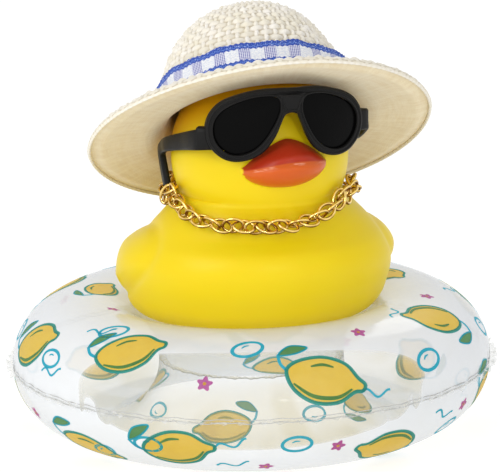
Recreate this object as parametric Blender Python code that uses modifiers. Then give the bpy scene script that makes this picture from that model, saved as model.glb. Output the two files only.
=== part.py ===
"""Rubber duck in a straw hat, sunglasses and a neck chain, seated on an inflated swim ring.

The duck looks along -Y and +Z is up. The origin lies on the surface that the ring rests on,
below the ring's middle. Lengths are metres.
"""
import math

import bmesh
import bpy
from mathutils import Matrix, Vector

MM = 0.001

# Clearances
GAP = 0.3 * MM
SEAT_GAP = 0.35 * MM

# Swim ring: two welded films
TUBE_MIDDLE = 30.5 * MM
TUBE_HALF_WIDTH = 13.5 * MM
TUBE_HALF_HEIGHT = 12.3 * MM
RING_FLATTENING = 0.4 * MM
FILM = 0.35 * MM
FLANGE = 1.5 * MM
RING_STEPS = 40
TUBE_STEPS = 8

# Inflation valve, on the ring's top behind the duck
VALVE_TURN = math.radians(17.0)
VALVE_OUTER = 2.4 * MM
VALVE_BORE = 1.2 * MM
VALVE_PROUD = 1.5 * MM
VALVE_DEPTH = 4.0 * MM
VALVE_FOOT = 3.6 * MM
VALVE_FOOT_THICK = 0.7 * MM
PLUG_HEAD = 2.9 * MM
PLUG_HEAD_THICK = 0.8 * MM
PLUG_PIN_LENGTH = 3.0 * MM

# Duck body, measured from the underside of its base
DUCK_SIDEWAYS = 0.5 * MM
BODY_HALF_WIDTH = 24.0 * MM
BODY_HALF_DEPTH = 25.6 * MM
NECK_HALF_WIDTH = 15.5 * MM
NECK_HALF_DEPTH = 15.3 * MM
FULL_CHEST = 0.11
BASE_RADIUS = 20.4 * MM
BASE_ROUNDING = 4.0 * MM
DUCK_WALL = 1.4 * MM
HEAD_RADIUS = 16.4 * MM
HEAD_HEIGHT = 30.0 * MM
HEAD_FORWARD = 8.5 * MM
NECK_BELOW_HEAD = 6.7 * MM
NECK_HEIGHT = HEAD_HEIGHT - NECK_BELOW_HEAD

# Beak, moulded on the head
BEAK_HALF_WIDTH = 7.9 * MM
BEAK_REACH = 5.5 * MM
MOUTH_ABOVE_HEAD_MIDDLE = 0.4 * MM
MOUTH_HEIGHT = HEAD_HEIGHT + MOUTH_ABOVE_HEAD_MIDDLE
MOUTH_ARCH = 1.5 * MM
UPPER_BILL = 4.7 * MM
LOWER_BILL = 3.3 * MM
MOUTH_CREASE = 0.9 * MM

# Wings and tail, moulded on the body
WING_PROUD = 2.3 * MM
WING_TURN = math.radians(104.0)
WING_HEIGHT = 9.8 * MM
WING_HALF_LENGTH = 16.5 * MM
WING_HALF_HEIGHT = 7.0 * MM
WING_SLOPE = math.radians(-14.0)
TAIL_HEIGHT = 8.5 * MM
TAIL_REACH = 5.0 * MM
TAIL_LIFT = 2.5 * MM
TAIL_SPREAD = 6.5 * MM

# Squeaker in the base
SQUEAKER_RADIUS = 4.6 * MM
SQUEAKER_HEIGHT = 4.0 * MM
SQUEAKER_HOLE = 0.9 * MM

# Straw hat, measured along its own axis from the underside of the brim
HAT_TILT_BACK = math.radians(33.5)
HAT_TILT_TURN = math.radians(-3.0)
HAT_RISE = 4.8 * MM
HAT_PLAY = 1.0 * MM
HAT_SHIFT = 0.1 * MM
STRAW = 0.8 * MM
WEAVE_LIFT = 0.35 * MM
BRIM_RADIUS = 31.2 * MM
BRIM_DROOP = 1.2 * MM
CROWN_FLARE = 5.5 * MM
CROWN_HEIGHT = 21.8 * MM
CROWN_ROUNDNESS = 2.25
LINING = 0.45 * MM
LINING_MARGIN = 1.2 * MM
LINING_TURN_UP = 4.0 * MM
WEAVE_COLUMNS = 50
CROWN_ROWS = 16
BRIM_ROWS = 8

# Ribbon round the crown
RIBBON_LOW = 4.6 * MM
RIBBON_WIDTH = 4.2 * MM
RIBBON_THICK = 0.4 * MM
RIBBON_OVERLAP = math.radians(14.0)
RIBBON_STEPS = 64

# Sunglasses, drawn flat from the middle of the nose bridge
GLASSES_STANDOFF = 1.8 * MM
GLASSES_FORWARD = HEAD_FORWARD + HEAD_RADIUS + GLASSES_STANDOFF
GLASSES_WRAP = math.radians(21.5)
GLASSES_NOSE_ROUND = 1.2 * MM
GLASSES_LEAN = math.radians(5.0)
FRAME_THICK = 1.5 * MM
LENS_THICK = 0.7 * MM
ARM_THICK = 1.2 * MM
ARM_ROOT_HEIGHT = 3.8 * MM
ARM_TIP_HEIGHT = 1.9 * MM

# Neck chain, lying on the shoulders
CHAIN_HALF_HEIGHT = 1.4 * MM
CHAIN_HALF_THICK = 1.0 * MM
CHAIN_BELOW_HEAD = 10.5 * MM
CHAIN_SIDE_RISE = 4.8 * MM
CHAIN_BACK_DROP = 5.4 * MM
CHAIN_SAG_TURN = math.radians(-20.0)
CHAIN_LINKS = 56
CHAIN_SIDES = 6

# Shares of the neck's height, with the width and depth there between neck (0) and body (1),
# and the share of the head's forward shift
BODY_SHAPE = (
    (0.00, 0.88, 0.79, 0.00),
    (0.19, 0.97, 0.89, 0.05),
    (0.34, 1.00, 0.96, 0.17),
    (0.49, 0.96, 0.92, 0.32),
    (0.62, 0.79, 0.69, 0.50),
    (0.73, 0.57, 0.27, 0.70),
    (0.83, 0.33, 0.08, 0.82),
    (0.92, 0.13, 0.00, 0.90),
    (1.00, 0.00, 0.00, 0.98),
)

# Half of the sunglasses' outer outline and one lens opening, x from the nose, z from the bridge datum
FRAME_OUTLINE = (
    (0.0, 14.7), (4.8, 14.6), (8.8, 13.8), (12.2, 12.5), (14.2, 10.6), (15.1, 8.3), (15.0, 6.0),
    (14.1, 4.0), (12.2, 2.3), (9.8, 1.7), (7.1, 2.2), (4.8, 3.6), (2.85, 6.1), (1.6, 8.6), (0.8, 10.1),
    (0.0, 10.5),
)
LENS_OUTLINE = (
    (3.4, 13.3), (6.2, 13.2), (9.2, 12.4), (12.0, 11.0), (13.6, 9.0), (13.8, 6.6), (12.9, 4.6),
    (11.1, 3.2), (8.9, 3.0), (6.6, 3.9), (4.7, 5.7), (3.1, 8.3), (2.2, 10.6), (2.3, 12.5),
)

# Middle line of one arm, from inside the rim to its tip: x from the nose, y and z from the head's centre
ARM_ROUTE = (
    (12.7, -14.0, 5.6), (14.2, -13.6, 5.6), (15.4, -12.3, 5.3), (16.4, -8.0, 4.4), (17.8, -2.5, 3.1),
    (17.8, 1.6, 1.9), (17.9, 3.3, 0.8), (17.7, 4.0, -1.0), (17.4, 3.9, -3.0), (17.2, 3.5, -4.7),
)


def clear_scene():
    for item in list(bpy.data.objects):
        bpy.data.objects.remove(item, do_unlink=True)


def new_collection(name):
    collection = bpy.data.collections.new(name)
    bpy.context.scene.collection.children.link(collection)
    return collection


def material(name, colour, roughness, metallic=0.0, transmission=0.0):
    made = bpy.data.materials.new(name)
    made.use_nodes = True
    shader = made.node_tree.nodes["Principled BSDF"]
    shader.inputs["Base Color"].default_value = (*colour, 1.0)
    shader.inputs["Roughness"].default_value = roughness
    shader.inputs["Metallic"].default_value = metallic
    shader.inputs["Transmission Weight"].default_value = transmission
    made.diffuse_color = (*colour, 1.0)
    return made


def add_object(name, mesh, collection, finish):
    made = bpy.data.objects.new(name, mesh)
    collection.objects.link(made)
    if finish:
        mesh.materials.append(finish)
    return made


def face_outwards(form):
    bmesh.ops.recalc_face_normals(form, faces=form.faces)
    if form.calc_volume(signed=True) < 0.0:
        bmesh.ops.reverse_faces(form, faces=form.faces)


def loft(name, rings, collection, finish, start=None, end=None, closed_path=False):
    """Skin over rings of equally many points, capped with fans or joined end to end."""
    form = bmesh.new()
    rows = [[form.verts.new(point) for point in ring] for ring in rings]
    pairs = list(zip(rows, rows[1:]))
    if closed_path:
        pairs.append((rows[-1], rows[0]))
    for near, far in pairs:
        for index in range(len(near)):
            after = (index + 1) % len(near)
            form.faces.new((near[index], near[after], far[after], far[index]))
    for row, pole in ((rows[0], start), (rows[-1], end)):
        if closed_path:
            break
        if pole is None:
            form.faces.new(row)
            continue
        tip = form.verts.new(pole)
        for index in range(len(row)):
            form.faces.new((row[index], row[(index + 1) % len(row)], tip))
    face_outwards(form)
    mesh = bpy.data.meshes.new(name)
    form.to_mesh(mesh)
    form.free()
    mesh.shade_smooth()
    mesh.set_sharp_from_angle(angle=math.radians(40.0))
    return add_object(name, mesh, collection, finish)


def turned(name, section, steps, collection, finish):
    """Closed (radius, height) section turned about Z by a Screw modifier."""
    area = sum(a[0] * b[1] - b[0] * a[1] for a, b in zip(section, section[1:] + section[:1]))
    points = section if area < 0.0 else section[::-1]
    mesh = bpy.data.meshes.new(name)
    edges = [(index, (index + 1) % len(points)) for index in range(len(points))]
    mesh.from_pydata([(radius, 0.0, height) for radius, height in points], edges, [])
    made = add_object(name, mesh, collection, finish)
    screw = made.modifiers.new("Turn", "SCREW")
    screw.axis = "Z"
    screw.angle = 2.0 * math.pi
    screw.steps = steps
    screw.render_steps = steps
    screw.use_merge_vertices = True
    screw.merge_threshold = 0.001 * MM
    screw.use_smooth_shade = True
    return made


def plain_cylinder(name, radius, length, collection):
    form = bmesh.new()
    bmesh.ops.create_cone(form, cap_ends=True, segments=20, radius1=radius, radius2=radius, depth=length)
    mesh = bpy.data.meshes.new(name)
    form.to_mesh(mesh)
    form.free()
    return add_object(name, mesh, collection, None)


def boolean(target, cutter, operation):
    made = target.modifiers.new(cutter.name, "BOOLEAN")
    made.operation = operation
    made.object = cutter
    made.solver = "EXACT"


def hide_cutter(cutter):
    cutter.hide_render = True
    cutter.display_type = "WIRE"


def smooth_step(low, high, value):
    share = min(1.0, max(0.0, (value - low) / (high - low)))
    return share * share * (3.0 - 2.0 * share)


def smooth_line(points, steps, closed=False):
    """Points of a Catmull-Rom curve through the given points."""
    vectors = [Vector(point) for point in points]
    count = len(vectors)
    line = []
    for index in range(count if closed else count - 1):
        here = vectors[index]
        after = vectors[(index + 1) % count]
        before = vectors[index - 1] if closed or index else here
        beyond = vectors[(index + 2) % count] if closed or index + 2 < count else after
        for step in range(steps):
            t = step / steps
            line.append(0.5 * (
                2.0 * here + (after - before) * t
                + (2.0 * before - 5.0 * here + 4.0 * after - beyond) * t ** 2
                + (3.0 * here - before - 3.0 * after + beyond) * t ** 3))
    if not closed:
        line.append(vectors[-1])
    return line


# Swim ring


def seam_height():
    return TUBE_HALF_HEIGHT - RING_FLATTENING


def tube_top(radius):
    """Height of the tube's outer skin above the seam, at a distance from the ring's axis."""
    share = (radius - TUBE_MIDDLE) / TUBE_HALF_WIDTH
    return TUBE_HALF_HEIGHT * math.sqrt(max(0.0, 1.0 - share * share))


def tube_arc(inset, low, flat=None):
    """Upper half of a tube section set in by inset, from outside to inside, cut off at flat."""
    half_width = TUBE_HALF_WIDTH - inset
    half_height = TUBE_HALF_HEIGHT - inset
    first = math.asin(low / half_height)
    last = math.pi / 2.0 if flat is None else math.asin(flat / half_height)
    steps = TUBE_STEPS // 2
    turns = [first + (last - first) * step / steps for step in range(steps + 1)]
    back = [math.pi - turn for turn in reversed(turns)]
    turns += back[1:] if flat is None else back
    return [(TUBE_MIDDLE + half_width * math.cos(turn), half_height * math.sin(turn)) for turn in turns]


def film_section(flat=None):
    outer = TUBE_MIDDLE + TUBE_HALF_WIDTH + FLANGE
    inner = TUBE_MIDDLE - TUBE_HALF_WIDTH - FLANGE
    inside_flat = None if flat is None else flat - FILM
    skin = [(outer, FILM)] + tube_arc(0.0, FILM, flat) + [(inner, FILM), (inner, 0.0)]
    hollow = tube_arc(FILM, 0.0, inside_flat)
    return skin + hollow[::-1] + [(outer, 0.0)]


def build_ring(parts, cutters):
    clear_vinyl = material("clear_ring_vinyl", (0.93, 0.95, 0.96), 0.06, transmission=0.9)
    seam = seam_height()
    upper = turned("ring_upper_film", film_section(), RING_STEPS, parts, clear_vinyl)
    upper.location.z = seam
    lower_section = [(radius, -height) for radius, height in film_section(seam)]
    lower = turned("ring_lower_film", lower_section, RING_STEPS, parts, clear_vinyl)
    lower.location.z = seam
    build_valve(parts, cutters, upper, seam)


def build_valve(parts, cutters, upper_film, seam):
    soft_vinyl = material("valve_vinyl", (0.85, 0.88, 0.9), 0.25)
    place = Vector((math.sin(VALVE_TURN), math.cos(VALVE_TURN), 0.0)) * TUBE_MIDDLE
    film_top = TUBE_HALF_HEIGHT
    under_film = (TUBE_HALF_HEIGHT - FILM) * math.sqrt(1.0 - (VALVE_FOOT / (TUBE_HALF_WIDTH - FILM)) ** 2)
    foot_top = under_film - GAP
    bottom = film_top - VALVE_DEPTH
    top = film_top + VALVE_PROUD
    stem_section = [
        (VALVE_OUTER, top), (VALVE_OUTER, foot_top), (VALVE_FOOT, foot_top),
        (VALVE_FOOT, foot_top - VALVE_FOOT_THICK), (VALVE_OUTER, foot_top - VALVE_FOOT_THICK),
        (VALVE_OUTER, bottom), (VALVE_BORE, bottom), (VALVE_BORE, top),
    ]
    stem = turned("inflation_valve", stem_section, 20, parts, soft_vinyl)
    stem.location = (place.x, place.y, seam)
    pin = VALVE_BORE - GAP
    plug_section = [
        (0.4 * pin, top + PLUG_HEAD_THICK), (0.9 * PLUG_HEAD, top + PLUG_HEAD_THICK),
        (PLUG_HEAD, top + 0.6 * PLUG_HEAD_THICK), (PLUG_HEAD, top), (pin, top),
        (pin, top - PLUG_PIN_LENGTH), (0.4 * pin, top - PLUG_PIN_LENGTH),
    ]
    plug = turned("valve_plug", plug_section, 20, parts, soft_vinyl)
    plug.location = (place.x, place.y, seam)
    hole = plain_cylinder("valve_hole", VALVE_OUTER + GAP, top - bottom, cutters)
    hole.location = (place.x, place.y, seam + (top + bottom) / 2.0)
    hide_cutter(hole)
    boolean(upper_film, hole, "DIFFERENCE")


# Duck


def head_middle():
    return Vector((0.0, -HEAD_FORWARD, HEAD_HEIGHT))


def duck_section(height):
    """Half width, half depth and middle y of the plain duck at a height above its base."""
    if height > NECK_HEIGHT:
        above = height - HEAD_HEIGHT
        radius = math.sqrt(max(0.0, HEAD_RADIUS ** 2 - above ** 2))
        return radius, radius, -HEAD_FORWARD
    share = height / NECK_HEIGHT
    upper = next(index for index in range(1, len(BODY_SHAPE)) if share <= BODY_SHAPE[index][0] + 1e-9)
    near = BODY_SHAPE[upper - 1]
    far = BODY_SHAPE[upper]
    before = BODY_SHAPE[max(0, upper - 2)]
    beyond = BODY_SHAPE[min(len(BODY_SHAPE) - 1, upper + 1)]
    t = (share - near[0]) / (far[0] - near[0])
    width, depth, shift = (hermite(before, near, far, beyond, column, t) for column in (1, 2, 3))
    half_width = NECK_HALF_WIDTH + (BODY_HALF_WIDTH - NECK_HALF_WIDTH) * width
    half_depth = NECK_HALF_DEPTH + (BODY_HALF_DEPTH - NECK_HALF_DEPTH) * depth
    rounding = min(1.0, height / BASE_ROUNDING)
    curve = math.sqrt(1.0 - (1.0 - rounding) ** 2)
    half_width = BASE_RADIUS + (half_width - BASE_RADIUS) * curve
    half_depth = BASE_RADIUS + (half_depth - BASE_RADIUS) * curve
    return half_width, half_depth, -HEAD_FORWARD * shift


def hermite(before, near, far, beyond, column, t):
    """Cubic between two rows of a shape table, with slopes from their neighbours."""
    span = far[0] - near[0]
    start = (far[column] - before[column]) / (far[0] - before[0]) * span
    finish = (beyond[column] - near[column]) / (beyond[0] - near[0]) * span
    a = near[column]
    b = far[column]
    return (a * (2 * t ** 3 - 3 * t ** 2 + 1) + start * (t ** 3 - 2 * t ** 2 + t)
            + b * (3 * t ** 2 - 2 * t ** 3) + finish * (t ** 3 - t ** 2))


def plain_skin(turn, height, inset=0.0):
    """Point of the plain duck, turn measured from the front (-Y) towards +X."""
    half_width, half_depth, middle = duck_section(height)
    fuller = FULL_CHEST * math.sin(math.pi * min(1.0, height / NECK_HEIGHT)) * math.cos(turn)
    across = (half_width - inset) * math.sin(turn) * (1.0 + fuller)
    return Vector((across, middle - (half_depth - inset) * math.cos(turn), height))


def beak_push(point):
    """Forward reach of the beak over a point on the face."""
    across = abs(point.x) / BEAK_HALF_WIDTH
    if across >= 1.0 or point.y > -HEAD_FORWARD:
        return 0.0
    round_off = math.sqrt(1.0 - across * across)
    mouth = MOUTH_HEIGHT + MOUTH_ARCH * (1.0 - across * across)
    above = point.z - mouth
    if above > 0.0:
        share = above / (MOUTH_HEIGHT + UPPER_BILL * (1.0 - across ** 1.6) - mouth + 0.1 * MM)
        swell = 1.0 - min(1.0, share) ** 1.4
    else:
        share = above / (MOUTH_HEIGHT - LOWER_BILL * round_off - mouth - 0.1 * MM)
        swell = (1.0 - min(1.0, share) ** 2) ** 0.6
    crease = MOUTH_CREASE * math.exp(-(above / (0.6 * MM)) ** 2) if swell > 0.0 else 0.0
    return (BEAK_REACH * swell - crease) * round_off ** 0.7


def wing_push(turn, point):
    """Outward swelling of the wings on the body's sides."""
    side = abs(math.atan2(math.sin(turn), math.cos(turn)))
    along = (side - WING_TURN) * BODY_HALF_WIDTH
    up = point.z - WING_HEIGHT
    length = along * math.cos(WING_SLOPE) + up * math.sin(WING_SLOPE)
    rise = up * math.cos(WING_SLOPE) - along * math.sin(WING_SLOPE)
    reach = math.hypot(length / WING_HALF_LENGTH, rise / WING_HALF_HEIGHT)
    return WING_PROUD * (1.0 - smooth_step(0.7, 1.02, reach))


def tail_root():
    half_width, half_depth, middle = duck_section(TAIL_HEIGHT)
    return Vector((0.0, middle + half_depth, TAIL_HEIGHT))


def duck_skin(turn, height):
    point = plain_skin(turn, height)
    point.y -= beak_push(point)
    if height < NECK_HEIGHT:
        outward = Vector((math.sin(turn), -math.cos(turn), 0.0))
        near_tail = math.exp(-((point - tail_root()).length / TAIL_SPREAD) ** 2)
        near_tail *= smooth_step(0.3 * BASE_ROUNDING, 1.4 * BASE_ROUNDING, height)
        point += outward * wing_push(turn, point)
        point += Vector((0.0, TAIL_REACH, TAIL_LIFT)) * near_tail
    return point


def duck_turns(count=40):
    """Turns round the duck, closer together at the face."""
    return [s - 0.45 * math.sin(s) for s in (2.0 * math.pi * index / count for index in range(count))]


def duck_heights():
    """Heights of the duck's rows from the crown of the head down to the base."""
    crown = [HEAD_HEIGHT + HEAD_RADIUS * share for share in (0.985, 0.93, 0.84, 0.73, 0.62, 0.51)]
    face_top = HEAD_HEIGHT + 0.39 * HEAD_RADIUS
    face_low = HEAD_HEIGHT - 0.27 * HEAD_RADIUS
    face = [face_top + (face_low - face_top) * step / 10 for step in range(11)]
    body = [NECK_HEIGHT * share for share in (0.999, 0.92, 0.84, 0.75, 0.66, 0.57, 0.47, 0.37, 0.27)]
    base = [BASE_ROUNDING * share for share in (0.95, 0.55, 0.28, 0.1, 0.0)]
    return crown + face + body + base


def duck_lift():
    """Height of the duck's base above the seam at which it seats on the ring's inner slope."""
    lift = -1.0
    for height in [BASE_ROUNDING * step / 12 for step in range(25)]:
        for turn in duck_turns():
            point = duck_skin(turn, height)
            radius = math.hypot(point.x + DUCK_SIDEWAYS, point.y)
            lift = max(lift, tube_top(radius) - height)
    return lift + SEAT_GAP


def duck_place():
    return Vector((DUCK_SIDEWAYS, 0.0, seam_height() + duck_lift()))


def build_duck(parts):
    yellow = material("yellow_vinyl", (0.86, 0.62, 0.02), 0.42)
    turns = duck_turns()
    hole = SQUEAKER_RADIUS + GAP

    def circle(radius, height):
        return [Vector((radius * math.sin(turn), -radius * math.cos(turn), height)) for turn in turns]

    outside = [[duck_skin(turn, height) for turn in turns] for height in duck_heights()]
    neck_floor = [NECK_HEIGHT * share for share in (0.12, 0.3, 0.5, 0.66, 0.82, 0.999)]
    head_inside = [HEAD_HEIGHT + (HEAD_RADIUS - DUCK_WALL) * share for share in (-0.1, 0.3, 0.6, 0.85)]
    floor = [circle(BASE_RADIUS - DUCK_WALL, DUCK_WALL)]
    body_inside = [[plain_skin(turn, height, DUCK_WALL) for turn in turns] for height in neck_floor]
    inner_head = [head_ring(height, turns) for height in head_inside]
    rings = outside + [circle(hole, 0.0), circle(hole, DUCK_WALL)] + floor + body_inside + inner_head
    crown = head_middle() + Vector((0.0, 0.0, HEAD_RADIUS))
    duck = loft("duck_body", rings, parts, yellow, start=crown, end=crown - Vector((0.0, 0.0, DUCK_WALL)))
    duck.location = duck_place()
    build_squeaker(parts)


def build_squeaker(parts):
    plastic = material("squeaker_plastic", (0.9, 0.9, 0.88), 0.4)
    section = [
        (SQUEAKER_HOLE, GAP), (SQUEAKER_RADIUS, GAP), (SQUEAKER_RADIUS, DUCK_WALL),
        (0.86 * SQUEAKER_RADIUS, DUCK_WALL + GAP), (0.86 * SQUEAKER_RADIUS, SQUEAKER_HEIGHT),
        (SQUEAKER_HOLE, SQUEAKER_HEIGHT),
    ]
    squeaker = turned("squeaker", section, 20, parts, plastic)
    squeaker.location = duck_place()


def head_ring(height, turns):
    radius = math.sqrt((HEAD_RADIUS - DUCK_WALL) ** 2 - (height - HEAD_HEIGHT) ** 2)
    return [Vector((radius * math.sin(turn), -HEAD_FORWARD - radius * math.cos(turn), height)) for turn in turns]


# Straw hat


def hat_matrix():
    """Place of the hat: the head's centre, tilted back and raised along the hat's axis."""
    lean = Matrix.Rotation(HAT_TILT_TURN, 4, "Z") @ Matrix.Rotation(-HAT_TILT_BACK, 4, "X")
    middle = duck_place() + head_middle() + Vector((HAT_SHIFT, 0.0, 0.0))
    return Matrix.Translation(middle) @ lean @ Matrix.Translation((0.0, 0.0, HAT_RISE))


def crown_radius():
    """Inner radius of the crown's foot that leaves the lined hat just clear of the head."""
    layers = GAP + LINING
    reach = HEAD_RADIUS + HAT_PLAY + layers + GAP + CROWN_FLARE
    return math.sqrt(reach ** 2 - (HAT_RISE + CROWN_FLARE) ** 2) - CROWN_FLARE


def brim_line(rows, outer):
    """Underside of the brim from its edge inwards to the flare."""
    inner = crown_radius() + CROWN_FLARE
    line = []
    for row in range(rows):
        radius = outer + (inner - outer) * row / rows
        share = (radius - inner) / (BRIM_RADIUS - inner)
        line.append(Vector((radius, -BRIM_DROOP * share * share)))
    return line


def flare_line(steps):
    foot = crown_radius()
    turns = [math.pi / 2.0 * step / steps for step in range(steps)]
    return [Vector((foot + CROWN_FLARE * (1.0 - math.sin(turn)), CROWN_FLARE * (1.0 - math.cos(turn))))
            for turn in turns]


def crown_line(rows, top=1.0):
    """Inside of the crown from the flare up to a share of the way to its top."""
    foot = crown_radius()
    height = CROWN_HEIGHT - CROWN_FLARE
    line = []
    for row in range(rows + 1):
        share = top * (1.0 - (1.0 - row / rows) ** 1.7)
        round_off = (1.0 - share ** CROWN_ROUNDNESS) ** (1.0 / CROWN_ROUNDNESS)
        line.append(Vector((foot * round_off, CROWN_FLARE + height * share)))
    return line


def offset_line(line, distance):
    """Line moved towards the head by a distance."""
    moved = []
    for index, point in enumerate(line):
        run = line[min(index + 1, len(line) - 1)] - line[max(index - 1, 0)]
        normal = Vector((-run.y, run.x)).normalized()
        moved.append(point + normal * distance)
    return moved


def hat_ring(point, columns, row=None):
    """Points round the hat's axis, lifted in turn where straws pass over each other."""
    ring = []
    for column in range(columns):
        turn = 2.0 * math.pi * column / columns
        radius = point.x
        height = point.y
        if row is not None and (column + row) % 2:
            radius += WEAVE_LIFT * 0.7
            height += WEAVE_LIFT * 0.7
        ring.append(Vector((radius * math.cos(turn), radius * math.sin(turn), height)))
    return ring


def build_hat(parts):
    straw = material("woven_straw", (0.83, 0.76, 0.6), 0.8)
    cloth = material("hat_lining_cloth", (0.68, 0.58, 0.42), 0.9)
    place = hat_matrix()

    inside = brim_line(BRIM_ROWS, BRIM_RADIUS) + flare_line(3) + crown_line(CROWN_ROWS, 0.985)
    outside = offset_line(inside, -STRAW)
    plain_inside = brim_line(2, BRIM_RADIUS) + flare_line(3) + crown_line(6, 0.985)
    rings = [hat_ring(point, WEAVE_COLUMNS, row) for row, point in enumerate(outside)][::-1]
    rings += [hat_ring(point, WEAVE_COLUMNS) for point in plain_inside]
    top = Vector((0.0, 0.0, outside[-1].y + 0.1 * MM))
    under = Vector((0.0, 0.0, inside[-1].y + 0.1 * MM))
    hat = loft("straw_hat", rings, parts, straw, start=top, end=under)
    hat.matrix_world = place

    face = brim_line(3, BRIM_RADIUS - LINING_MARGIN) + flare_line(4)
    face += [Vector((crown_radius(), CROWN_FLARE)), Vector((crown_radius() - 0.6 * MM, CROWN_FLARE + LINING_TURN_UP))]
    back = offset_line(face, GAP)
    front = offset_line(face, GAP + LINING)
    section = [tuple(point) for point in back + front[::-1]]
    lining = turned("hat_lining", section, 40, parts, cloth)
    lining.matrix_world = place
    build_ribbon(parts, offset_line(flare_line(6) + crown_line(12), -STRAW), place)


def straw_radius(outside, height):
    """Radius of the straw's outer face at a height on the crown."""
    for low, high in zip(outside, outside[1:]):
        if low.y <= height <= high.y:
            return low.x + (high.x - low.x) * (height - low.y) / (high.y - low.y)
    return outside[0].x


def build_ribbon(parts, outside, place):
    woven = material("woven_ribbon", (0.42, 0.5, 0.82), 0.75)
    clear = WEAVE_LIFT + GAP
    levels = [RIBBON_LOW + RIBBON_WIDTH * share for share in (0.0, 0.33, 0.67, 1.0)]
    radii = [straw_radius(outside, level) + clear for level in levels]
    total = 2.0 * math.pi + RIBBON_OVERLAP
    rings = []
    for step in range(RIBBON_STEPS + 1):
        turn = math.pi / 2.0 + total * step / RIBBON_STEPS
        laid_over = smooth_step(total - 2.2 * RIBBON_OVERLAP, total - RIBBON_OVERLAP, total * step / RIBBON_STEPS)
        rise = (RIBBON_THICK + GAP) * laid_over
        inner = [(radius + rise, level) for radius, level in zip(radii, levels)]
        outer = [(radius + RIBBON_THICK, level) for radius, level in reversed(inner)]
        rings.append([Vector((radius * math.cos(turn), radius * math.sin(turn), level))
                      for radius, level in inner + outer])
    ribbon = loft("hat_ribbon", rings, parts, woven)
    ribbon.matrix_world = place


# Sunglasses


def glasses_place():
    return duck_place() + Vector((0.0, 0.0, HEAD_HEIGHT))


def wrapped(x, z, depth):
    """Place of a point of the flat drawing once the front is wrapped round the face."""
    bend = math.hypot(x * math.tan(GLASSES_WRAP), GLASSES_NOSE_ROUND) - GLASSES_NOSE_ROUND
    return Vector((x * math.cos(GLASSES_WRAP), -GLASSES_FORWARD + bend * math.cos(GLASSES_WRAP) + depth
                   - z * math.sin(GLASSES_LEAN), z * math.cos(GLASSES_LEAN)))


def flat_plate(name, outlines, thick):
    """Closed plate with the given outlines, in the XZ plane of the flat drawing."""
    curve = bpy.data.curves.new(name, "CURVE")
    curve.dimensions = "2D"
    curve.fill_mode = "BOTH"
    curve.extrude = thick / 2.0
    for outline in outlines:
        spline = curve.splines.new("POLY")
        spline.points.add(len(outline) - 1)
        for spot, point in zip(spline.points, outline):
            spot.co = (point.x, point.y, 0.0, 1.0)
        spline.use_cyclic_u = True
    holder = bpy.data.objects.new(name, curve)
    bpy.context.scene.collection.objects.link(holder)
    bpy.context.view_layer.update()
    evaluated = holder.evaluated_get(bpy.context.evaluated_depsgraph_get())
    mesh = bpy.data.meshes.new_from_object(evaluated)
    bpy.data.objects.remove(holder, do_unlink=True)
    form = bmesh.new()
    form.from_mesh(mesh)
    bmesh.ops.remove_doubles(form, verts=form.verts, dist=0.001 * MM)
    bmesh.ops.triangulate(form, faces=form.faces)
    for vert in form.verts:
        vert.co = wrapped(vert.co.x, vert.co.y, -vert.co.z)
    face_outwards(form)
    form.to_mesh(mesh)
    form.free()
    return mesh


def inset_outline(outline, distance):
    """Outline with each point moved inwards."""
    middle = sum(outline, Vector((0.0, 0.0))) / len(outline)
    moved = []
    for index, point in enumerate(outline):
        run = outline[(index + 1) % len(outline)] - outline[index - 1]
        normal = Vector((-run.y, run.x)).normalized()
        if normal.dot(middle - point) < 0.0:
            normal.negate()
        moved.append(point + normal * distance)
    return moved


def lens_outline(side):
    line = smooth_line([(x * MM * side, z * MM) for x, z in LENS_OUTLINE], 2, closed=True)
    return line


def arm_rings(side):
    """Rounded sections along one arm."""
    middle = head_middle()
    route = smooth_line([(x * side * MM, middle.y + y * MM, middle.z + z * MM) for x, y, z in ARM_ROUTE], 3)
    rings = []
    for index, point in enumerate(route):
        share = index / (len(route) - 1)
        run = (route[min(index + 1, len(route) - 1)] - route[max(index - 1, 0)]).normalized()
        across = run.cross(Vector((0.0, 0.0, 1.0))) if abs(run.z) < 0.9 else Vector((side, 0.0, 0.0))
        if share > 0.45:
            across = Vector((side, 0.0, 0.0)) - run * run.x * side
        across.normalize()
        if across.x * side < 0.0:
            across.negate()
        tall = run.cross(across).normalized()
        height = ARM_TIP_HEIGHT + (ARM_ROOT_HEIGHT - ARM_TIP_HEIGHT) * (1.0 - smooth_step(0.1, 0.6, share))
        half_thick = ARM_THICK / 2.0
        half_tall = height / 2.0
        corner = 0.3 * ARM_THICK
        spots = [
            (half_thick, half_tall - corner), (half_thick - corner, half_tall),
            (corner - half_thick, half_tall), (-half_thick, half_tall - corner),
            (-half_thick, corner - half_tall), (corner - half_thick, -half_tall),
            (half_thick - corner, -half_tall), (half_thick, corner - half_tall),
        ]
        rings.append([point + across * a + tall * b for a, b in spots])
    return rings


def build_glasses(parts, cutters):
    black = material("black_frame", (0.02, 0.02, 0.022), 0.4)
    dark = material("dark_lens", (0.006, 0.006, 0.007), 0.12)
    half = smooth_line([(x * MM, z * MM) for x, z in FRAME_OUTLINE], 2)
    mirrored = [Vector((-point.x, point.y)) for point in reversed(half)][1:-1]
    outlines = [half + mirrored, lens_outline(1.0), lens_outline(-1.0)]
    frame = add_object("sunglasses_frame", flat_plate("frame_drawing", outlines, FRAME_THICK), parts, black)
    frame.location = glasses_place()
    for side, name in ((1.0, "left_arm_guide"), (-1.0, "right_arm_guide")):
        arm = loft(name, arm_rings(side), cutters, None)
        arm.location = duck_place()
        hide_cutter(arm)
        boolean(frame, arm, "UNION")
    for side, name in ((1.0, "left_lens"), (-1.0, "right_lens")):
        outline = inset_outline(lens_outline(side), GAP)
        lens = add_object(name, flat_plate(name, [outline], LENS_THICK), parts, dark)
        lens.location = glasses_place()


# Neck chain


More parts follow.
